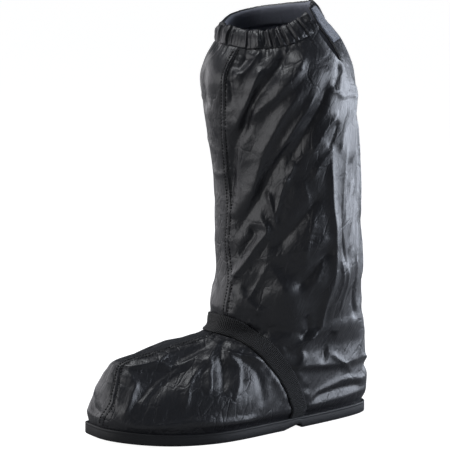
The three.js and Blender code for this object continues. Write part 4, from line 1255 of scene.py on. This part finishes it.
# Studio: a pale floor and a white surround that the camera sees and reflections see dimmed, with
# broad soft lights on the left, in front and overhead, and a stronger cool one on the right and
# behind. The camera stands where the photograph's did, aimed beside the cover's middle.
CAMERA_AZIMUTH = 56
CAMERA_ELEVATION = 8.2
CAMERA_ROLL = 0.6
CAMERA_DISTANCE = 2.2
AIM_SIDE = -0.0093
AIM_HEIGHT = 0.2084
SENSOR_WIDTH = 36
PHOTO_WIDTH = 450
PIXELS_PER_METRE = 985


def towards(azimuth, elevation):
    """Direction to a bearing in degrees: 0 ahead of the toe, 90 on the outer side."""
    a, e = math.radians(azimuth), math.radians(elevation)
    return Vector((math.sin(a) * math.cos(e), -math.cos(a) * math.cos(e), math.sin(e)))


back = towards(CAMERA_AZIMUTH, CAMERA_ELEVATION)
sideways = towards(CAMERA_AZIMUTH + 90, 0) * AIM_SIDE
aim = sideways + Vector((0, 0, AIM_HEIGHT)) + Vector(SHIFT / MILLIMETRES)
right = Vector((0, 0, 1)).cross(back).normalized()
up = back.cross(right)
lean = math.radians(CAMERA_ROLL)
right, up = (
    right * math.cos(lean) + up * math.sin(lean),
    up * math.cos(lean) - right * math.sin(lean),
)
camera_data = bpy.data.cameras.new("camera")
camera_data.sensor_width = SENSOR_WIDTH
camera_data.lens = SENSOR_WIDTH * CAMERA_DISTANCE / (PHOTO_WIDTH / PIXELS_PER_METRE)
camera = bpy.data.objects.new("camera", camera_data)
bpy.context.scene.collection.objects.link(camera)
turned = Matrix((right, up, back)).transposed().to_4x4()
camera.matrix_world = Matrix.Translation(aim + back * CAMERA_DISTANCE) @ turned
bpy.context.scene.camera = camera

FLOOR_REACH = 60
FLOOR_GREY = (0.35, 0.35, 0.35)
FLOOR_GLOW = 0.97
floor_mesh = bpy.data.meshes.new("floor")
corners = [(x * FLOOR_REACH, y * FLOOR_REACH, 0) for x, y in ((-1, -1), (1, -1), (1, 1), (-1, 1))]
floor_mesh.from_pydata(corners, [], [(0, 1, 2, 3)])
floor = bpy.data.objects.new("floor", floor_mesh)
bpy.context.scene.collection.objects.link(floor)
unlit = {"specular_ior_level": 0.0, "emission_color": (1, 1, 1, 1)}
pale, tree, shader = finish_of("pale_floor", FLOOR_GREY, 1.0, **unlit)
ray = tree.nodes.new("ShaderNodeLightPath")
glow = tree.nodes.new("ShaderNodeMath")
glow.operation = "MULTIPLY"
glow.inputs[1].default_value = FLOOR_GLOW
tree.links.new(ray.outputs["Is Camera Ray"], glow.inputs[0])
tree.links.new(glow.outputs[0], shader.inputs["Emission Strength"])
floor.data.materials.append(pale)


LIT_MIDDLE = Vector((0, 0, 0.2))


def softbox(name, azimuth, elevation, distance, width, height, power, colour):
    """Area light at a bearing and distance from the object's middle, turned to it."""
    data = bpy.data.lights.new(name, "AREA")
    data.shape = "RECTANGLE"
    data.size, data.size_y = width, height
    data.energy = power
    data.color = colour
    light = bpy.data.objects.new(name, data)
    bearing = towards(azimuth, elevation)
    light.location = LIT_MIDDLE + bearing * distance
    light.rotation_euler = bearing.to_track_quat("Z", "Y").to_euler()
    bpy.context.scene.collection.objects.link(light)


# Name, azimuth, elevation, distance, width, height, power and colour
softbox("left_softbox", -62, 9, 1.6, 2.4, 1.2, 15, (0.98, 0.965, 1.0))
softbox("fill_softbox", 4, 9, 1.7, 1.4, 1.1, 11, (0.98, 0.98, 1.0))
softbox("right_softbox", 161, 3, 1.6, 2.4, 1.1, 45, (0.82, 0.88, 1.0))
softbox("top_softbox", -10, 74, 1.7, 1.0, 1.0, 16, (0.95, 0.97, 1.0))

SURROUND_WHITE = (1, 1, 1, 1)
REFLECTED_BLUE = (0.82, 0.9, 1, 1)
REFLECTED_STRENGTH = 0.09
world = bpy.data.worlds.new("studio")
bpy.context.scene.world = world
world.use_nodes = True
nodes, links = world.node_tree.nodes, world.node_tree.links
seen = nodes.new("ShaderNodeLightPath")
surround = nodes.new("ShaderNodeBackground")
surround.inputs["Color"].default_value = SURROUND_WHITE
surround.inputs["Strength"].default_value = 1.0
reflected = nodes.new("ShaderNodeBackground")
reflected.inputs["Color"].default_value = REFLECTED_BLUE
reflected.inputs["Strength"].default_value = REFLECTED_STRENGTH
choose = nodes.new("ShaderNodeMixShader")
links.new(seen.outputs["Is Camera Ray"], choose.inputs[0])
links.new(reflected.outputs[0], choose.inputs[1])
links.new(surround.outputs[0], choose.inputs[2])
links.new(choose.outputs[0], nodes["World Output"].inputs["Surface"])
bpy.context.scene.view_settings.view_transform = "Standard"
